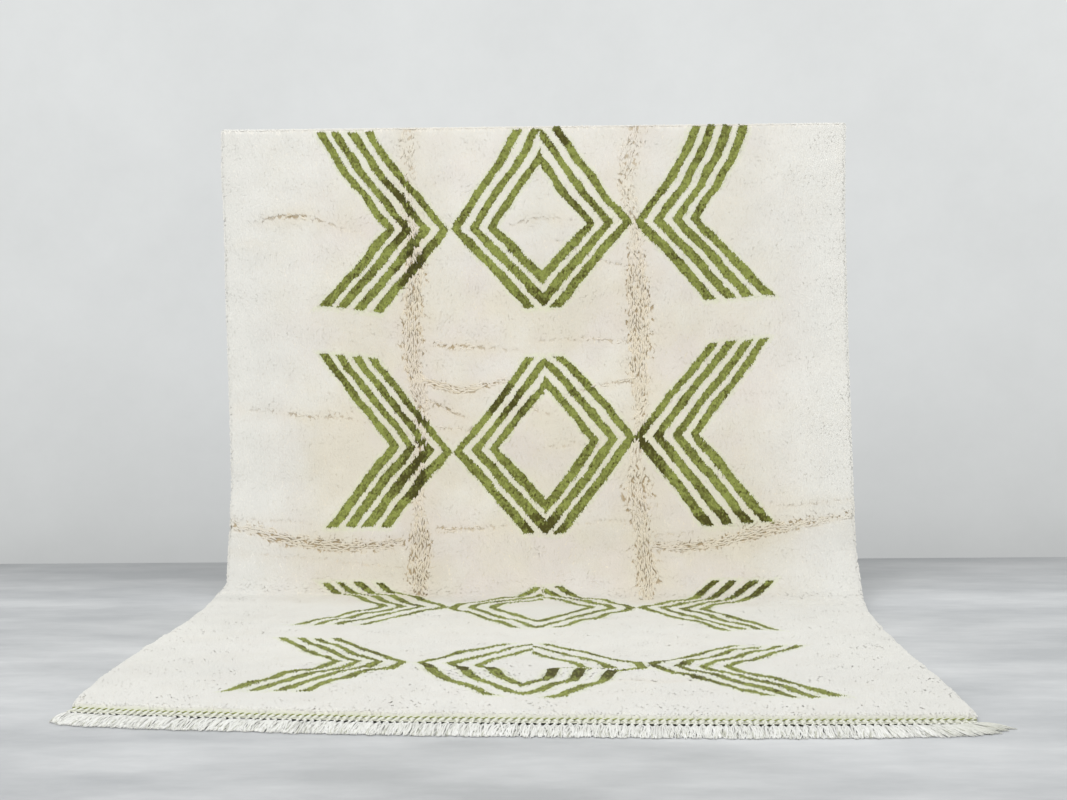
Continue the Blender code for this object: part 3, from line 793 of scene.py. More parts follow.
def ivory_wool():
    """Hand-spun undyed wool: white at the clean margins, beige in the middle. The tufts' roots are painted
    darker as shade in the beige middle, and brown as shadow where the pile has parted.
    """
    wool = Finish("ivory_wool")
    place = wool.place()
    blotches = wool.noise(place, 9.0)
    heather = wool.noise(place, 420.0, detail=2.0)
    warm = wool.maths("ADD", wool.value("warm"), wool.between(blotches, 0.3, 0.7, -0.10, 0.10))
    rosy = wool.mix(wool.between(wool.noise(place, 4.0), 0.42, 0.58), WARM_IVORY, PINK_IVORY)
    colour = wool.mix(wool.between(warm, 0.0, 1.0), WHITE_IVORY, rosy)
    # Yellow-green near the stripes; on the front rim it is painted shade that deepens towards the floor.
    colour = wool.mix(wool.value("green_halo_and_shade"), colour, HALO_AND_SHADE_IVORY)
    colour = wool.mix(wool.value("parted"), colour, FELTED_IVORY)
    # Painted shade: in the beige middle the tufts' roots are darker and browner than their tips.
    root = wool.mix(wool.between(warm, 0.0, 1.0), WHITE_ROOT, IVORY_ROOT_SHADE)
    # Painted shadow: the roots between parted locks are warm brown.
    root = wool.mix(wool.value("parted"), root, PARTED_ROOT_SHADOW)
    colour = wool.mix(wool.between(wool.value("tip"), 0.0, 0.5), root, colour)
    tone = wool.between(heather, 0.25, 0.75, 0.955, 1.0)
    # Painted shade: the ivory is darkened low on the hanging part and towards the front edge.
    tone = wool.maths("MULTIPLY", tone, wool.maths("SUBTRACT", 1.0, wool.value("painted_shade")))
    rough = wool.between(heather, 0.2, 0.8, 0.86, 0.97)
    return wool.done(wool.toned(colour, tone), rough, wool.noise(place, 900.0, detail=4.0), 0.0006)


def olive_wool():
    """The same wool dyed olive by hand and so uneven: yellow-green at the tips, and painted brown-green shade
    below.
    """
    wool = Finish("olive_wool", sheen=0.05)
    place = wool.place()
    batches = wool.noise(place, 60.0, detail=5.0)
    heather = wool.noise(place, 240.0, detail=3.0)
    deep = wool.maths("ADD", wool.value("deep"), wool.between(batches, 0.3, 0.7, -0.16, 0.16))
    colour = wool.mix(wool.between(deep, 0.0, 1.0), OLIVE_LIGHT, OLIVE_DEEP)
    # Painted shade: the olive tufts' roots are dark brown-green.
    colour = wool.mix(wool.between(wool.value("tip"), 0.0, 0.5), OLIVE_ROOT_SHADE, colour)
    tone = wool.between(heather, 0.3, 0.7, 0.76, 1.16)
    rough = wool.between(heather, 0.2, 0.8, 0.82, 0.95)
    return wool.done(wool.toned(colour, tone), rough, wool.noise(place, 800.0, detail=4.0), 0.0006)


def nap_wool():
    """The close nap of the knots' roots, ivory or olive as the knots are, with painted shade: brown where the
    pile has parted, and dark under the olive tufts.
    """
    wool = Finish("wool_nap", sheen=0.15)
    curls = wool.noise(wool.place(), 260.0, detail=5.0, rough=0.7)
    ivory = wool.mix(wool.value("warm"), WHITE_NAP, WARM_NAP)
    # Painted shadow: the nap is brown where the pile has parted.
    ivory = wool.mix(wool.between(wool.value("parted"), 0.1, 0.5), ivory, PARTED_ROOT_SHADOW)
    stray = wool.maths("ADD", wool.value("olive"), wool.between(curls, 0.2, 0.8, -0.002, 0.002))
    colour = wool.mix(wool.between(stray, -0.0015, 0.0015), ivory, OLIVE_ROOT_SHADE)
    tone = wool.between(curls, 0.25, 0.75, 0.88, 1.08)
    rough = wool.between(curls, 0.2, 0.8, 0.88, 0.98)
    return wool.done(wool.toned(colour, tone), rough, curls, 0.003, strength=0.8)


def knot_backs():
    """The back of the cloth: rows of knot loops, each about 6 mm wide, with thin wefts between the rows."""
    wool = Finish("wool_knot_backs", sheen=0.12)
    places = {"X": wool.value("across"), "Y": wool.value("along")}
    spot = wool.node("ShaderNodeCombineXYZ", places).outputs[0]
    fuzz = wool.noise(spot, 500.0, detail=4.0)
    knots = wool.node(
        "ShaderNodeTexBrick",
        {
            "Vector": spot,
            "Color1": (1.0, 1.0, 1.0, 1.0),
            "Color2": (0.82, 0.82, 0.82, 1.0),
            "Mortar": (0.0, 0.0, 0.0, 1.0),
            "Scale": 1.0,
            "Mortar Size": 0.0011,
            "Mortar Smooth": 0.7,
            "Bias": 0.1,
            "Brick Width": 0.0064,
            "Row Height": 0.0082,
        },
        offset=0.0,
    )
    loops = knots.outputs["Color"]
    height = wool.maths("ADD", loops, wool.between(fuzz, 0.0, 1.0, -0.18, 0.18))
    stray = wool.maths("ADD", wool.value("olive"), wool.between(fuzz, 0.2, 0.8, -0.0012, 0.0012))
    colour = wool.mix(wool.between(stray, -0.0012, 0.0012), BACK_IVORY, OLIVE_DEEP)
    batches = wool.noise(spot, 14.0, detail=4.0)
    colour = wool.mix(wool.between(batches, 0.35, 0.75, 0.0, 0.30), colour, BACK_BROWN)
    colour = wool.mix(wool.between(loops, 0.0, 0.7, 0.75, 0.0), colour, BACK_SHADOW)
    rough = wool.between(fuzz, 0.2, 0.8, 0.84, 0.96)
    return wool.done(colour, rough, height, 0.0016, strength=0.9)


def rim_lines(low, high):
    """Places from one rim to the other at an even pitch, with extra ones where the pile rounds off."""
    inner = np.linspace(low + RIM_ROUND, high - RIM_ROUND, round((high - low) / GROUND_PITCH))
    ends = np.array(RIM_ENDS)
    return np.concatenate([low + ends, inner, high - ends[::-1]])


def closed_sheet(name, front, back, values, materials):
    """A closed sheet from rows of points in front and behind, with point values that both share. Of two
    materials, the second is its back's."""
    behind = front[..., 0].size
    spots = np.arange(behind).reshape(front.shape[:2])
    faces = np.stack([spots[:-1, :-1], spots[1:, :-1], spots[1:, 1:], spots[:-1, 1:]], axis=-1).reshape(-1, 4)
    rim = np.concatenate([spots[:, 0], spots[-1, 1:], spots[-2::-1, -1], spots[0, -2::-1]])
    sides = np.stack([rim[:-1], rim[:-1] + behind, rim[1:] + behind, rim[1:]], axis=1)
    points = np.concatenate([front.reshape(-1, 3), back.reshape(-1, 3)])
    values = {title: np.tile(value.ravel(), 2) for title, value in values.items()}
    piece = new_mesh(
        name, points, np.concatenate([faces, faces[:, [0, 3, 2, 1]] + behind, sides]), values, materials
    )
    layer = np.zeros(len(piece.data.polygons), dtype=np.int32)
    layer[len(faces) : 2 * len(faces)] = len(materials) - 1
    piece.data.polygons.foreach_set("material_index", layer)
    return piece


def woven_ground():
    """The nap's surface in front, the knots' backs behind."""
    across, along = np.meshgrid(rim_lines(-RUG_WIDTH / 2, RUG_WIDTH / 2), rim_lines(0.0, RUG_LENGTH))
    parted = parting(across, along)
    nap = pile_top(across, along, parted) - NAP_BELOW_TIPS * rim_share(across, along)
    nap = nap + 0.0009 * ripple(across, along, 0.03, 81)
    front, back = on_cloth(across, along, nap), on_cloth(across, along, np.zeros_like(nap))
    values = {"parted": parted, "warm": warmth(across, along), "olive": olive_depth(across, along)}
    values |= {"across": across, "along": along}
    return closed_sheet("woven_ground", front, back, values, [nap_wool(), knot_backs()])


ground = woven_ground()
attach(ground, "root")

# ---- The pile ---------------------------------------------------------------------------------------------
# The cut ends of the knots, which show for 4 to 5 mm past the nap. Each tuft leans down the rug as the wool
# lies, hides the roots of the next ones, and leans outwards at the rim. One pile holds both yarns, ivory and
# olive.

IVORY_PITCH = 0.0074
OLIVE_PITCH = 0.0060
TUFT_REACH = 0.0140
TUFT_HALF = 0.0056
TIP_DROOPS = 0.0036
TUFT_SHOWS_AT = 0.0043
EDGE_PITCH = 0.0045
EDGE_BAND = 0.0038
HALO_WIDTH = 0.017
RIM_BULGE = 0.0040
OUTWARDS_WITHIN = 0.020
SHOULDER_AT, CROWN_AT = 0.34, 0.36
TIP_SHADES = (0.0, 0.40, 0.80, 0.40, 1.0)


def scattered(pitch, seed):
    """Tufts in rows, a little astray, over the whole cloth: across, along, and how deep in the olive."""
    chance = np.random.default_rng(seed)
    columns = np.arange(-RUG_WIDTH / 2 + pitch / 4, RUG_WIDTH / 2, pitch)
    rows = np.arange(pitch / 4, RUG_LENGTH, pitch * 0.92)
    across, along = np.meshgrid(columns, rows)
    across = across + np.where(np.arange(len(rows)) % 2, pitch / 2, 0)[:, None]
    across = across + chance.uniform(-0.38, 0.38, across.shape) * pitch
    along = along + chance.uniform(-0.38, 0.38, across.shape) * pitch
    inside = (np.abs(across) < RUG_WIDTH / 2) & (along > 0) & (along < RUG_LENGTH)
    across, along = across[inside], along[inside]
    return np.stack([across, along, olive_depth(across, along + TUFT_SHOWS_AT)])


def lean_of(across, along, chance):
    """Which way each tuft leans, across and along: down the rug, and outwards near the rim."""
    turn = 0.35 * ripple(across, along, 0.30, 91) + 0.16 * ripple(across, along, 0.09, 92)
    turn = turn + chance.normal(0, 0.13, np.shape(across))
    way = np.stack([np.sin(turn), np.cos(turn)], axis=-1)
    side = np.clip(1 - (RUG_WIDTH / 2 - np.abs(across)) / OUTWARDS_WITHIN, 0, 1)
    way[..., 0] = way[..., 0] * (1 - side) + 0.9 * side * np.sign(across)
    return way / np.linalg.norm(way, axis=-1, keepdims=True)


def tuft_mesh(name, base, way, out, sizes, values, finish):
    """Many tufts as one mesh. Each rises from its root, crowns and bends over to its cut tip. Base, way and
    out are (across, along, height). Sizes are a tuft's reach and half width, then how far out its root, crown
    and tip are."""
    reach, half, root, crown, tip = sizes
    none = np.zeros(len(base))
    side = np.cross(out, way)
    shoulder = root + 0.35 * (crown - root)
    corners = []
    for ahead, beside, far in (
        (-half, none, root),
        (SHOULDER_AT * reach, half, shoulder),
        (reach, none, tip),
        (SHOULDER_AT * reach, -half, shoulder),
        (CROWN_AT * reach, none, crown),
    ):
        corners.append(base + ahead[:, None] * way + beside[:, None] * side + far[:, None] * out)
    count = len(corners)
    spots = np.stack(corners, axis=1).reshape(-1, 3)
    spots[:, 2] = np.maximum(spots[:, 2], 0.0008)
    points = on_cloth(spots[:, 0], spots[:, 1], spots[:, 2])
    first = np.arange(len(base))[:, None] * count
    faces = [first + np.array([[corner, (corner + 1) % 4, 4]]) for corner in range(4)]
    faces = np.stack(faces, axis=1).reshape(-1, 3)
    point_values = {title: np.repeat(value, count) for title, value in values.items()}
    # Painted shade: a tuft's root corner is darkest, its shoulders and tip lighter, its crown lightest.
    point_values["tip"] = np.tile(TIP_SHADES, len(base))
    sideways, down, upright = directions_at(spots[:, 0], spots[:, 1])
    out = np.repeat(out, count, axis=0)
    soft = sideways * out[:, :1] + down * out[:, 1:2] + upright * np.maximum(out[:, 2:], 0.8)
    soft /= np.linalg.norm(soft, axis=1, keepdims=True)
    return new_mesh(name, points, faces, point_values, [finish], soft)


def pile_piece(name, tufts, seed, finish):
    """A piece of the pile: its tufts' lean, length and shade."""
    chance = np.random.default_rng(seed)
    parted = parting(tufts[0], tufts[1])
    keep = chance.uniform(0, 1, len(parted)) > parted * 1.25 - 0.20
    (across, along, stripe), parted = tufts[:, keep], parted[keep]
    way = lean_of(across, along, chance)
    full = rim_share(across, along)
    top = pile_top(across, along, parted)
    top = top + chance.normal(0, 0.0004, len(across))
    root = top - (NAP_BELOW_TIPS + 0.0012) * full
    reach = TUFT_REACH * chance.uniform(0.85, 1.20, len(across))
    half = TUFT_HALF * chance.uniform(0.85, 1.2, len(across)) * (1 + 0.15 * (1 - full))
    at_edge = np.abs(stripe) < EDGE_BAND
    half = np.where(at_edge, np.minimum(half, 0.0014 + np.abs(stripe) * 0.75), half)
    reach = np.where(at_edge, reach * 0.66, reach)
    side_room = (RUG_WIDTH / 2 + RIM_BULGE - np.abs(across)) / np.maximum(way[:, 0] * np.sign(across), 1e-6)
    front_room = (RUG_LENGTH + RIM_BULGE / 2 - along) / np.maximum(way[:, 1], 1e-6)
    reach = np.minimum(reach, np.minimum(side_room, front_room))
    kept = stops_at_crack(across, along, across + reach * way[:, 0], along + reach * way[:, 1])
    reach, half = reach * kept, half * np.clip(0.35 + kept, 0.45, 1)
    under_crown, under_tip = (
        pile_top(across + share * reach * way[:, 0], along + share * reach * way[:, 1], parted)
        for share in (CROWN_AT, 1.0)
    )
    tip = top - TIP_DROOPS * (1.0 + 0.35 * (1 - kept))
    tip = np.maximum(np.minimum(tip, under_tip - 0.0008), 0.0015)
    top = np.minimum(top, under_crown + 0.0006)
    count = len(across)
    fold_shade_share = painted_fold_shade(across, along)
    # The soft beige band round each fold is painted shade, carried in the parted and warm values.
    values = {
        "parted": np.maximum(parted * 0.6, fold_shade_share * 0.26),
        "warm": warmth(across, along) + 0.22 * fold_shade_share + chance.normal(0, 0.05, count),
        "painted_shade": painted_shade(across, along),
    }
    if finish == olive:
        values["deep"] = olive_shade(across, along) + chance.normal(0, 0.26, count)
    else:
        values["green_halo_and_shade"] = np.clip(1 + stripe / HALO_WIDTH, 0, 1) * chance.uniform(0.35, 0.85, count)
    flat = np.zeros(count)
    base = np.stack([across, along, flat], axis=1)
    way = np.column_stack([way, flat])
    out = np.broadcast_to([0.0, 0.0, 1.0], base.shape)
    return tuft_mesh(name, base, way, out, (reach, half, root, top, tip), values, finish)


ivory, olive = ivory_wool(), olive_wool()

# Where the two yarns meet, the tufts are thin and close, so that a stripe's edge is crisp.
ivory_tufts, olive_tufts = scattered(IVORY_PITCH, 101), scattered(OLIVE_PITCH, 102)
thin_tufts = scattered(EDGE_PITCH, 103)
thin_tufts = thin_tufts[:, np.abs(thin_tufts[2]) <= EDGE_BAND]
ivory_tufts = np.hstack([ivory_tufts[:, ivory_tufts[2] < -EDGE_BAND], thin_tufts[:, thin_tufts[2] <= 0]])
olive_tufts = np.hstack([olive_tufts[:, olive_tufts[2] > EDGE_BAND], thin_tufts[:, thin_tufts[2] > 0]])

pile_pieces = []
bands = (("top", -0.1, 0.72), ("middle", 0.72, 1.44), ("foot", 1.44, 2.16), ("front", 2.16, 3.0))
for number, (title, start, end) in enumerate(bands):
    band = ivory_tufts[:, (ivory_tufts[1] >= start) & (ivory_tufts[1] < end)]
    pile_pieces.append(pile_piece(f"ivory_pile_{title}", band, 110 + number, ivory))
pile_pieces.append(pile_piece("olive_pile", olive_tufts, 120, olive))

RIM_ROWS = (-0.0010, 0.0030, 0.0070, 0.0110)
RIM_PITCH = 0.0058


def rim_tufts():
    """Tufts that hang over the cut side of the pile, all round the rug."""
    chance = np.random.default_rng(130)
    half_width = RUG_WIDTH / 2
    base, out = [], []
    for row in RIM_ROWS:
        for along in np.arange(0.002, RUG_LENGTH, RIM_PITCH):
            base += [(-half_width, along, -row), (half_width, along, -row)]
            out += [(-1.0, 0.0, 0.0), (1.0, 0.0, 0.0)]
        for across in np.arange(-half_width, half_width, RIM_PITCH):
            base += [(across, 0.0, -row), (across, RUG_LENGTH, -row)]
            out += [(0.0, -1.0, 0.0), (0.0, 1.0, 0.0)]
    base, out = np.array(base), np.array(out)
    below = -base[:, 2]
    base[:, 2] += pile_top(base[:, 0], base[:, 1], 0)
    base[:, :2] += chance.uniform(-0.003, 0.003, (len(base), 2)) * (out[:, :2] == 0)
    way = np.zeros(base.shape)
    way[:, :2] = chance.normal(0, 0.16, (len(base), 2)) * (out[:, :2] == 0)
    way[:, 2] = -1.0
    way /= np.linalg.norm(way, axis=1, keepdims=True)
    count = len(base)
    sizes = [
        chance.uniform(0.0075, 0.0100, count),
        chance.uniform(0.0034, 0.0044, count),
        np.where(below < 0, -0.0040, 0.0002),
        chance.normal(0.0040, 0.0003, count),
        np.full(count, 0.0016),
    ]
    dyed = olive_depth(base[:, 0], np.clip(base[:, 1], 0.004, RUG_LENGTH)) > 0
    at_front = np.clip((base[:, 1] - RUG_LENGTH + 0.03) / 0.03, 0, 1)
    values = {
        "parted": np.zeros(count),
        "warm": warmth(base[:, 0], base[:, 1]) + chance.normal(0, 0.05, count),
        "painted_shade": painted_shade(base[:, 0], base[:, 1]),
        # Painted shade: the front rim's rows turn yellow-green more and more towards the floor.
        "green_halo_and_shade": at_front * np.interp(below, RIM_ROWS[::3], (0.10, 0.80)) * chance.uniform(0.7, 1.0, count),
        "deep": olive_shade(base[:, 0], base[:, 1]) + chance.normal(0, 0.15, count),
    }
    made = []
    for name, chosen, finish in (("ivory_rim", ~dyed, ivory), ("olive_rim", dyed, olive)):
        own_values = {title: value[chosen] for title, value in values.items()}
        own_sizes = [size[chosen] for size in sizes]
        made.append(tuft_mesh(name, base[chosen], way[chosen], out[chosen], own_sizes, own_values, finish))
    return made


pile_pieces += rim_tufts()

# ---- The felted locks in the folds ------------------------------------------------------------------------
# Where the pile has parted, its yarns have felted into locks as thick as a pencil and 20 to 40 mm long. They
# follow the fold, curl, and leave narrow gaps between them.

LOCK_LANE = 0.0076
LOCK_STEP = 0.019
LOCK_HALF = 0.0034
LOCK_REACH = 0.030
LOCK_SINKS = 0.0018

# A lock's height, width and shade at five steps from its root to its end.
LOCK_RISE = np.array([-0.0050, -0.0014, 0.0, -0.0003, -0.0018])
LOCK_WIDTH = np.array([0.75, 1.0, 1.0, 0.85, 0.35])
LOCK_SHADE = np.array([0.15, 0.65, 0.95, 1.0, 1.0])


def strand_mesh(name, middles, halves, flat, place, values, finish):
    """Many four-sided strands as one mesh. Middles hold (across, along, height) for each strand's steps."""
    count, steps, _ = middles.shape
    way = np.gradient(middles, axis=1)[..., :2]
    way /= np.maximum(np.linalg.norm(way, axis=-1, keepdims=True), 1e-9)
    side = np.stack([-way[..., 1], way[..., 0]], axis=-1)
    rings = []
    for beside, above in ((-1, 0), (0, 1), (1, 0), (0, -1)):
        corner = middles.copy()
        corner[..., :2] += side * (beside * halves)[..., None]
        corner[..., 2] += above * halves * flat
        rings.append(corner)
    spots = np.stack(rings, axis=2)
    points = place(spots[..., 0], spots[..., 1], spots[..., 2]).reshape(-1, 3)
    corners = np.arange(count * steps * 4).reshape(count, steps, 4)
    here, after = corners, np.roll(corners, -1, axis=2)
    walls = np.stack([here[:, :-1], here[:, 1:], after[:, 1:], after[:, :-1]], axis=-1)
    faces = np.concatenate([walls.reshape(-1, 4), corners[:, 0], corners[:, -1, ::-1]])
    values = {title: np.broadcast_to(value[..., None], corners.shape) for title, value in values.items()}
    return new_mesh(name, points, faces, values, [finish])


def fold_locks(chance):
    """Locks along every fold: the middle line of each, its half widths and its point values."""
    middles, halves, tips, partings = [], [], [], []
    steps = len(LOCK_RISE)
    run = np.linspace(0, 1, steps)
    for fold in FOLDS:
        lengths = np.linalg.norm(np.diff(fold[:, :2], axis=0), axis=1)
        length = lengths.sum()
        shares = np.concatenate([[0], np.cumsum(lengths)]) / length
        widest = fold[:, 2].max()
        spared = 0.15 if widest >= CREASE else 0.60
        lanes = max(1, round(2 * widest / LOCK_LANE))
        for lane in range(lanes):
            beside = (lane + 0.5) / lanes * 2 - 1
            for start in np.arange(chance.uniform(-0.5, 0.5) * LOCK_STEP, length, LOCK_STEP):
                at = (start + chance.uniform(-0.3, 0.3) * LOCK_STEP) / length
                if not 0 <= at <= 1:
                    continue
                here, ahead, behind = (
                    np.array([np.interp(share, shares, column) for column in fold.T])
                    for share in (at, min(at + 0.02, 1.0), max(at - 0.02, 0.0))
                )
                half_fold, parted = here[2:]
                if chance.uniform() > parted * 1.3 - spared:
                    continue
                way = (ahead - behind)[:2]
                way = way / np.linalg.norm(way)
                turn = chance.normal(0, 0.15)
                way = np.array([
                    way[0] * math.cos(turn) - way[1] * math.sin(turn),
                    way[0] * math.sin(turn) + way[1] * math.cos(turn),
                ])
                side = np.array([-way[1], way[0]])
                middle = here[:2] + side * beside * half_fold * 0.95
                size = chance.uniform(0.8, 1.25)
                curl = chance.uniform(0.0008, 0.0026)
                wave = curl * np.sin(run * chance.uniform(4, 7) + chance.uniform(0, 6))
                line = middle + np.outer((run - 0.45) * LOCK_REACH * size, way) + np.outer(wave, side)
                top = float(pile_top(line[2:3, 0], line[2:3, 1], np.array([parted]))[0])
                rise = LOCK_RISE + chance.normal(0, 0.0004, steps)
                middles.append(np.column_stack([line, top + rise - LOCK_SINKS]))
                halves.append(LOCK_HALF * size * LOCK_WIDTH)
                tips.append(LOCK_SHADE * chance.uniform(0.82, 1.0))
                partings.append(np.full(steps, parted * chance.uniform(0.3, 0.8)))
    return np.array(middles), np.array(halves), np.array(tips), np.array(partings)


def felted_locks():
    """The locks of all folds, in ivory and in olive where a fold crosses the pattern."""
    chance = np.random.default_rng(140)
    middles, halves, tips, partings = fold_locks(chance)
    centre = middles[:, 2]
    dyed = olive_depth(centre[:, 0], centre[:, 1]) > 0
    made = []
    for name, chosen, finish in (("ivory_locks", ~dyed, ivory), ("olive_locks", dyed, olive)):
        spots = middles[chosen]
        values = {
            "tip": tips[chosen],
            "parted": partings[chosen],
            "warm": warmth(spots[..., 0], spots[..., 1]) + 0.30,
            "painted_shade": painted_shade(spots[..., 0], spots[..., 1]),
            "green_halo_and_shade": np.zeros(spots.shape[:2]),
            "deep": olive_shade(spots[..., 0], spots[..., 1]) + 0.25,
        }
        made.append(strand_mesh(name, spots, halves[chosen], 0.8, on_cloth, values, finish))
    return made


pile_pieces += felted_locks()
for piece in pile_pieces:
    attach(piece, "root")
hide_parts("pile_rug")

# ---- The heading and the knotted warp ends ----------------------------------------------------------------
# The cotton warps leave the last row of knots in 122 plied cords over a flat-woven heading. A twined cord of
# one olive and one ivory ply locks the pile's edge, and each warp cord is knotted and ends in a loose tassel.

HEADING_DEPTH = 0.024
TOUCH_GAP = 0.0003
TASSEL_COUNT = 122
TASSEL_LENGTH = 0.108
SHORTEST_TASSEL, LONGEST_TASSEL = 0.98, 1.06
KNOT_AT = 0.014
FAN_TASSELS = 16
FAN_LEFT = 0.003
FAN_CURVE = 1.5
DRIFTS = ((0.0026, 0.71, 0.0), (0.0020, 0.37, 1.0))
STRAY = 0.0008
TWINE_AHEAD, TWINE_HEIGHT = 0.0066, 0.0050
TWINE_SWING, TWINE_PLY = 0.0012, 0.0014
CORD_DRAWN = 0.0036
TAILS_PER_TASSEL = 26
TAIL_HALVES = np.array([0.0012, 0.0017, 0.0018, 0.0017, 0.0015, 0.0008])
COTTON_WHITE = (0.92, 0.915, 0.89)
COTTON_SHADE = (0.62, 0.62, 0.50)
CORD_GREEN = (0.84, 0.84, 0.74)
TAIL_SHADE = (0.58, 0.58, 0.50)
HEADING_GREEN = (0.76, 0.76, 0.62)
HEADING_SHADOW = (0.030, 0.030, 0.020)

front_left = weave(np.array(-RUG_WIDTH / 2), np.array(RUG_LENGTH))
front_right = weave(np.array(RUG_WIDTH / 2), np.array(RUG_LENGTH))
front_edge = front_right - front_left
side_way = front_edge / np.linalg.norm(front_edge)
near_way = np.array([front_edge[1], -front_edge[0], 0.0]) / np.linalg.norm(front_edge)
edge_length = float(np.linalg.norm(front_edge))


def on_floor(beside, ahead, height):
    """Places in front of the cloth: along its front edge from its left corner, towards the viewer, and up."""
    share = np.clip(beside / edge_length, 0, 1)
    place = weave(share * RUG_WIDTH - RUG_WIDTH / 2, np.full(np.shape(share), RUG_LENGTH))
    place = place + np.multiply.outer(beside - share * edge_length, side_way)
    place = place + np.multiply.outer(ahead, near_way)
    place[..., 2] = -DROP + height
    return place


def cotton(name, light, dark, twist):
    """Loosely plied cotton: pale, a little yellow-green with wool dust, darker where its tip value is low:
    painted shade between the plies, under the knots and on the heading's front, and uneven tone and soiling
    on the tails.
    """
    yarn = Finish(name, sheen=0.20)
    place = yarn.place()
    fibres = yarn.noise(place, 700.0, detail=4.0)
    stains = yarn.noise(place, 45.0, detail=3.0)
    colour = yarn.mix(yarn.between(yarn.value("tip"), 0.0, 1.0), dark, light)
    colour = yarn.mix(yarn.between(stains, 0.45, 0.80, 0.0, 0.35), colour, dark)
    colour = yarn.toned(colour, yarn.between(fibres, 0.25, 0.75, 0.88, 1.03))
    rough = yarn.between(fibres, 0.2, 0.8, 0.82, 0.96)
    lines = yarn.node(
        "ShaderNodeTexWave", {"Vector": place, "Scale": twist, "Distortion": 2.0, "Detail": 2.0},
        bands_direction="DIAGONAL",
    )
    bump = yarn.maths("ADD", lines.outputs["Fac"], yarn.between(fibres, 0.0, 1.0, -0.4, 0.4))
    return yarn.done(colour, rough, bump, 0.0005, strength=0.7)


def fan(number):
    """How far a warp end's tip is carried sideways, outwards at the corners and in soft clumps between, and
    how much of its length still points forwards."""
    from_left = np.maximum(0.0, 1 - number / FAN_TASSELS)
    from_right = np.maximum(0.0, 1 - (TASSEL_COUNT - 1 - number) / FAN_TASSELS)
    clump = sum(reach * np.sin(pace * number + start) for reach, pace, start in DRIFTS)
    clump = clump * (1 - from_left) * (1 - from_right)
    leftwards = np.interp(from_left, (0.0, 0.5, 0.8, 1.0), (0.0, 0.004, 0.007, FAN_LEFT))
    forwards = np.interp(from_left, (0.0, 0.6, 0.8, 1.0), (1.0, 1.00, 0.98, 0.90))
    turning = (0.0, 0.4, 0.6, 0.75, 0.88, 1.0)
    rightwards = np.interp(from_right, turning, (0.0, 0.018, 0.038, 0.056, 0.066, 0.070))
    forwards = forwards * np.interp(from_right, turning, (1.0, 0.98, 0.94, 0.86, 0.66, 0.36))
    return clump - leftwards + rightwards, forwards


tassel_chance = np.random.default_rng(150)
tassel = np.arange(TASSEL_COUNT)
tassel_root = (tassel + 0.5) * edge_length / TASSEL_COUNT
tassel_reach = TASSEL_LENGTH * tassel_chance.uniform(SHORTEST_TASSEL, LONGEST_TASSEL, TASSEL_COUNT)
tassel_sideways, tassel_near = fan(tassel)
tassel_sideways = tassel_sideways + tassel_chance.uniform(-STRAY, STRAY, TASSEL_COUNT)


def on_tassel(chosen, ahead):
    """Where the middle of some tassels is, at distances from the heading's front."""
    share = np.clip(ahead / tassel_reach[chosen], 0, None)
    beside = tassel_root[chosen] + tassel_sideways[chosen] * share**FAN_CURVE
    return beside, TOUCH_GAP + HEADING_DEPTH + ahead * tassel_near[chosen]


def heading_strip(finish):
    """A thin ribbed strip under the cords, whose last wefts lie loose at the knots. Its front face is painted
    near black as the shadow under the knots.
    """
    beside = np.linspace(0, edge_length, 733)
    ahead = np.linspace(TOUCH_GAP, TOUCH_GAP + HEADING_DEPTH + KNOT_AT, 9)
    across, near = np.meshgrid(beside, ahead)
    share = (near - TOUCH_GAP) / (HEADING_DEPTH + KNOT_AT)
    rib = 0.0003 * np.cos(across * 2 * math.pi * TASSEL_COUNT / edge_length + math.pi)
    top = 0.0020 + 0.0026 * share + rib
    upper = on_floor(across, near, top)
    lower = on_floor(across, near, np.full_like(top, 0.0004))
    return closed_sheet("heading", upper, lower, {"tip": share < 0.99}, [finish])


def twined_cord(ply, finish, name):
    """One ply of the two-ply cord that locks the pile's edge."""
    run = np.linspace(0, 1, TASSEL_COUNT * 7)
    angle = run * TASSEL_COUNT * 2 * math.pi + ply * math.pi
    ahead = TOUCH_GAP + TWINE_AHEAD + TWINE_SWING * np.cos(angle) + 0.0006 * np.sin(run * 60)
    height = TWINE_HEIGHT + TWINE_SWING * np.sin(angle) + 0.0003 * np.sin(run * 47)
    middles = np.stack([run * edge_length, ahead, height], axis=1)[None]
    halves = np.full((1, len(run)), TWINE_PLY)
    values = {"tip": np.full((1, len(run)), 0.9), "deep": np.full((1, len(run)), 0.10)}
    return strand_mesh(name, middles, halves, 1.0, on_floor, values, finish)


def warp_cords(finish):
    """The plied cords that cross the heading, two plies each, from under the twined cord to the knot."""
    run = np.linspace(0, 1, 11)
    end = HEADING_DEPTH + KNOT_AT + 0.006
    waist = np.clip((run * end - 0.022) / 0.008, 0, 1)
    middles, halves, tips = [], [], []
    for number in range(TASSEL_COUNT):
        chance = np.random.default_rng(2000 + number)
        beside, near = on_tassel(number, run * end - HEADING_DEPTH)
        drawn = chance.choice((-CORD_DRAWN, CORD_DRAWN)) * waist
        for ply in (0, 1):
            angle = run * 2.6 * math.pi + ply * math.pi + number
            lift = 0.0028 + 0.0030 * run
            side = beside + drawn + (0.0036 - 0.0022 * waist) * np.cos(angle)
            middles.append(np.stack([side, near, lift + 0.0006 * np.sin(angle)], axis=1))
            halves.append(0.0045 - 0.0017 * waist)
            # Painted shade: each ply is lighter where it turns up and darker where it turns down.
            tips.append(0.78 + 0.22 * np.sin(angle))
    return strand_mesh(
        "warp_cords", np.array(middles), np.array(halves), 0.45, on_floor, {"tip": np.array(tips)}, finish
    )


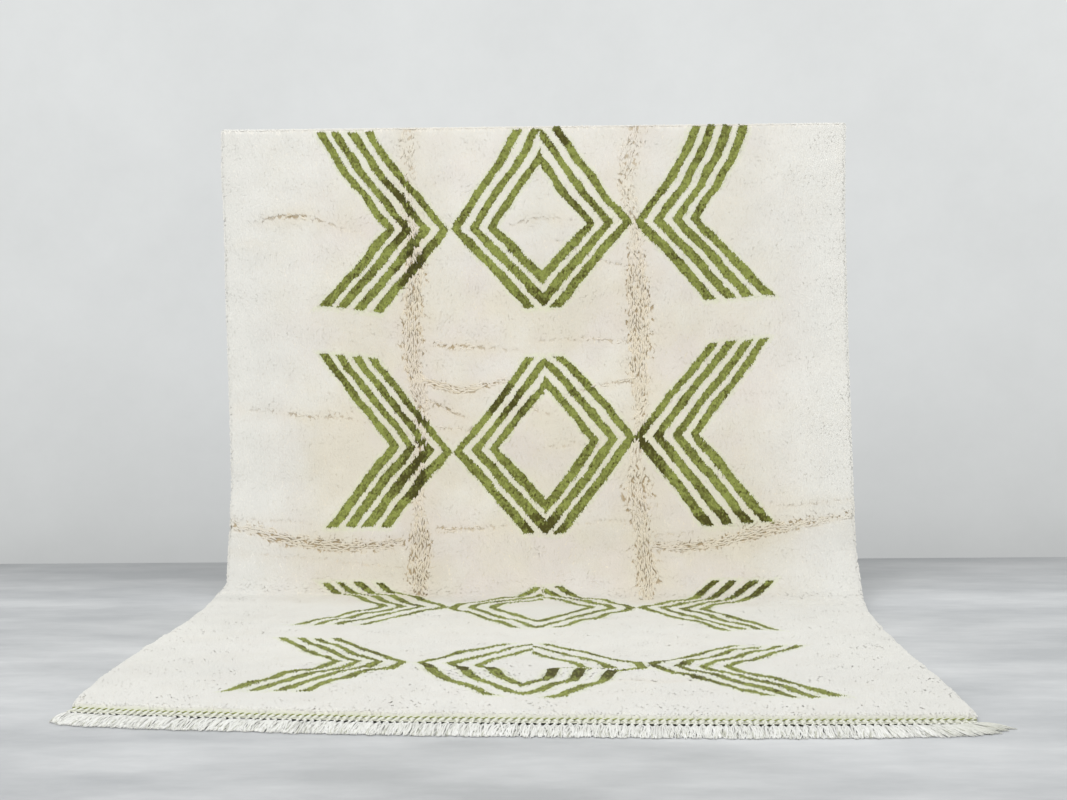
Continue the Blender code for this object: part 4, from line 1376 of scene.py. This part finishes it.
def warp_knots(finish):
    """A small overhand knot in each cord, half hidden in the loose tassel that leaves it."""
    rings, corners = 7, 10
    points, tips = [], []
    for number in range(TASSEL_COUNT):
        chance = np.random.default_rng(1000 + number)
        beside, near = on_tassel(number, KNOT_AT + 0.004)
        size = chance.uniform(0.48, 0.62)
        for ring in range(rings):
            tilt = math.pi * (ring + 0.35) / (rings - 0.3)
            for corner in range(corners):
                angle = 2 * math.pi * corner / corners
                groove = 1 - 0.16 * max(0.0, math.cos(3 * tilt + angle * 0.5 + number)) ** 2
                wide = 0.0066 * size * groove * math.sin(tilt) * math.cos(angle)
                long = 0.0060 * size * groove * math.cos(tilt)
                tall = 0.0056 * size * groove * math.sin(tilt) * math.sin(angle)
                points.append((beside + wide, near + long, max(0.0036 + tall, 0.0004)))
                # Painted shade: the knot is lighter on top and darker underneath.
                tips.append(0.6 + 0.4 * math.sin(tilt) * math.sin(angle))
    points = np.array(points)
    placed = on_floor(points[:, 0], points[:, 1], points[:, 2])
    faces = []
    for number in range(TASSEL_COUNT):
        first = number * rings * corners
        for ring in range(rings - 1):
            for corner in range(corners):
                after = (corner + 1) % corners
                low, high = first + ring * corners, first + (ring + 1) * corners
                faces.append((low + corner, low + after, high + after, high + corner))
    return new_mesh("warp_knots", placed, np.array(faces), {"tip": np.array(tips)}, [finish])


def tassel_tails(finish):
    """The loose ends past each knot: a soft bundle of untwisted yarns that spreads on the floor."""
    steps = len(TAIL_HALVES)
    run = np.linspace(0, 1, steps)
    bunch = 0.0024 + 0.0088 * np.sin(np.minimum(run * 1.5, 1) * math.pi * 0.5)
    heap = 0.0014 + 0.0058 * np.sin(run**0.8 * math.pi) ** 0.9
    middles, halves, tips = [], [], []
    for number in range(TASSEL_COUNT):
        chance = np.random.default_rng(3000 + number)
        for _ in range(TAILS_PER_TASSEL):
            length = tassel_reach[number] * chance.uniform(0.90, 1.0)
            start = KNOT_AT + chance.uniform(0.001, 0.006)
            beside, near = on_tassel(number, start + (length - start) * run)
            spread = chance.uniform(-1, 1)
            curl = chance.uniform(0.0010, 0.0055)
            curl = curl * np.sin(run * chance.uniform(3, 9) + chance.uniform(0, 6))
            side = beside + spread * bunch + curl * np.sqrt(run)
            height = 0.0010 + chance.uniform(0.05, 1.0) * heap
            middles.append(np.stack([side, near, height], axis=1))
            halves.append(TAIL_HALVES * chance.uniform(0.7, 1.2))
            tips.append(np.full(steps, chance.uniform(0.60, 1.0)) * tassel_clean[number])
            if chance.uniform() < 0.12:
                tips[-1][-2:] -= 1.2
    return strand_mesh(
        "tassel_tails", np.array(middles), np.array(halves), 0.9, on_floor, {"tip": np.array(tips)}, finish
    )


# The last tassels on the right are soiled.
tassel_clean = 1 - 0.55 * np.clip((tassel - TASSEL_COUNT + 9) / 6, 0, 1)
cord_finish = cotton("warp_cord_cotton", CORD_GREEN, COTTON_SHADE, 160.0)
heading = heading_strip(cotton("heading_cotton", HEADING_GREEN, HEADING_SHADOW, 220.0))
tail_finish = cotton("tassel_cotton", COTTON_WHITE, TAIL_SHADE, 90.0)
fringe_pieces = [
    heading,
    twined_cord(0, olive, "twined_olive_ply"),
    twined_cord(1, cord_finish, "twined_ivory_ply"),
    warp_cords(cord_finish),
    warp_knots(tail_finish),
    tassel_tails(tail_finish),
]
for piece in fringe_pieces:
    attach(piece, "root")
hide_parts("fringe")

# ---- The room: floor, light and camera --------------------------------------------------------------------
# A pale polished concrete floor that ends behind the rug, a pale grey room beyond it, and soft studio light
# from above and from behind the camera.

FLOOR_BEHIND = 0.69
FLOOR_HALF_WIDTH = 6.0
FLOOR_AHEAD = 7.0
FLOOR_BELOW = 0.0005
FLOOR_GREY = (0.56, 0.57, 0.585)
CLOUD_DARK = (0.45, 0.46, 0.475)
CLOUD_LIGHT = (0.66, 0.665, 0.675)


def floor_finish():
    """Polished concrete: cloudy, with streaks across the room, and painted shade: darker near the wall,
    towards the camera and to the left.
    """
    slab = Finish("polished_concrete", sheen=0.0)
    place = slab.place()
    streaks = slab.node("ShaderNodeMapping", {"Vector": place, "Scale": (0.8, 2.2, 1.0)}).outputs[0]
    clouds = slab.noise(streaks, 2.2, detail=9.0, rough=0.64)
    grain = slab.noise(place, 40.0, detail=6.0)
    colour = slab.mix(slab.between(clouds, 0.34, 0.66), CLOUD_DARK, CLOUD_LIGHT)
    colour = slab.mix(slab.between(grain, 0.3, 0.8, 0.0, 0.12), colour, FLOOR_GREY)
    spread = slab.node("ShaderNodeSeparateXYZ", {"Vector": place}).outputs
    # Painted shade: darker near the wall, towards the camera and towards the left.
    tone = slab.between(spread["Y"], 0.70, -0.15, 0.72, 1.04)
    tone = slab.maths("MULTIPLY", tone, slab.between(spread["Y"], -1.45, -2.1, 1.0, 0.88))
    tone = slab.maths("MULTIPLY", tone, slab.between(spread["X"], -1.3, 0.6, 0.94, 1.0))
    rough = slab.between(clouds, 0.3, 0.7, 0.42, 0.62)
    return slab.done(slab.toned(colour, tone), rough, grain, 0.0006, strength=0.2)


floor_corners = [
    (side * FLOOR_HALF_WIDTH, ahead, -DROP - FLOOR_BELOW)
    for side, ahead in ((-1, -FLOOR_AHEAD), (1, -FLOOR_AHEAD), (1, FLOOR_BEHIND), (-1, FLOOR_BEHIND))
]
floor = new_mesh("floor", floor_corners, [(0, 1, 2, 3)], {}, [floor_finish()])

# How bright the room is at heights seen from the rug, as the upright part of a direction.
Glow = namedtuple("Glow", "upright bright")
ROOM_GLOW = (
    Glow(-0.160, 0.48),
    Glow(-0.111, 0.575),
    Glow(-0.037, 0.655),
    Glow(0.037, 0.70),
    Glow(0.173, 0.742),
    Glow(0.240, 0.752),
)


def room_light():
    """A grey plaster room: darker towards the floor, and a little cloudy."""
    room = bpy.data.worlds.new("room")
    room.use_nodes = True
    nodes, links = room.node_tree.nodes, room.node_tree.links
    away = nodes.new("ShaderNodeTexCoord").outputs["Generated"]
    apart = nodes.new("ShaderNodeSeparateXYZ")
    links.new(away, apart.inputs["Vector"])
    height = nodes.new("ShaderNodeMapRange")
    links.new(apart.outputs["Z"], height.inputs["Value"])
    height.inputs["From Min"].default_value = ROOM_GLOW[0].upright
    height.inputs["From Max"].default_value = ROOM_GLOW[-1].upright
    ramp = nodes.new("ShaderNodeValToRGB")
    links.new(height.outputs["Result"], ramp.inputs["Fac"])
    stops = ramp.color_ramp.elements
    whole = ROOM_GLOW[-1].upright - ROOM_GLOW[0].upright
    for number, glow in enumerate(ROOM_GLOW):
        at = (glow.upright - ROOM_GLOW[0].upright) / whole
        stop = stops[0] if number == 0 else stops[-1] if number == len(ROOM_GLOW) - 1 else stops.new(at)
        stop.position = at
        stop.color = (glow.bright * 0.982, glow.bright * 1.006, glow.bright * 1.004, 1.0)
    clouds = nodes.new("ShaderNodeTexNoise")
    links.new(away, clouds.inputs["Vector"])
    clouds.inputs["Scale"].default_value = 9.0
    clouds.inputs["Detail"].default_value = 9.0
    clouds.inputs["Roughness"].default_value = 0.72
    faint = nodes.new("ShaderNodeMapRange")
    links.new(clouds.outputs["Fac"], faint.inputs["Value"])
    for title, value in (("From Min", 0.3), ("From Max", 0.7), ("To Min", 0.962), ("To Max", 1.038)):
        faint.inputs[title].default_value = value
    links.new(ramp.outputs["Color"], nodes["Background"].inputs["Color"])
    links.new(faint.outputs["Result"], nodes["Background"].inputs["Strength"])
    return room


bpy.context.scene.world = room_light()
bpy.context.scene.view_settings.view_transform = "Standard"


def soft_light(name, place, aim, size, power):
    """A large square light that faces a place."""
    lamp = bpy.data.lights.new(name, "AREA")
    lamp.shape = "SQUARE"
    lamp.size = size
    lamp.energy = power
    made = bpy.data.objects.new(name, lamp)
    bpy.context.scene.collection.objects.link(made)
    made.location = place
    ahead = np.array(aim) - np.array(place)
    turn = math.atan2(-ahead[0], ahead[1])
    tilt = math.acos(-ahead[2] / np.linalg.norm(ahead))
    made.rotation_euler = (tilt, 0.0, turn)


soft_light("ceiling_light", (0.0, -2.0, 2.4), (0.0, -0.9, -1.4), 3.0, 50.0)
soft_light("front_light", (-1.2, -5.5, 0.6), (0.0, 0.0, -0.8), 2.5, 76.0)

# The camera stands where the photograph was taken from: a real 46 mm lens, level to 2 degrees.
CAMERA_PLACE = (0.188, -4.4466, -0.7254)
CAMERA_TURN, CAMERA_DOWN, CAMERA_ROLL = math.radians(2.404), math.radians(2.126), math.radians(0.738)
CAMERA_LENS = 46.03

camera_data = bpy.data.cameras.new("camera")
camera_data.sensor_width = 36.0
camera_data.lens = CAMERA_LENS
camera = bpy.data.objects.new("camera", camera_data)
bpy.context.scene.collection.objects.link(camera)
camera.matrix_world = (
    Matrix.Translation(CAMERA_PLACE)
    @ Matrix.Rotation(CAMERA_TURN, 4, "Z")
    @ Matrix.Rotation(-CAMERA_DOWN, 4, "X")
    @ Matrix.Rotation(CAMERA_ROLL, 4, "Y")
    @ Matrix.Rotation(math.radians(90), 4, "X")
)
bpy.context.scene.camera = camera
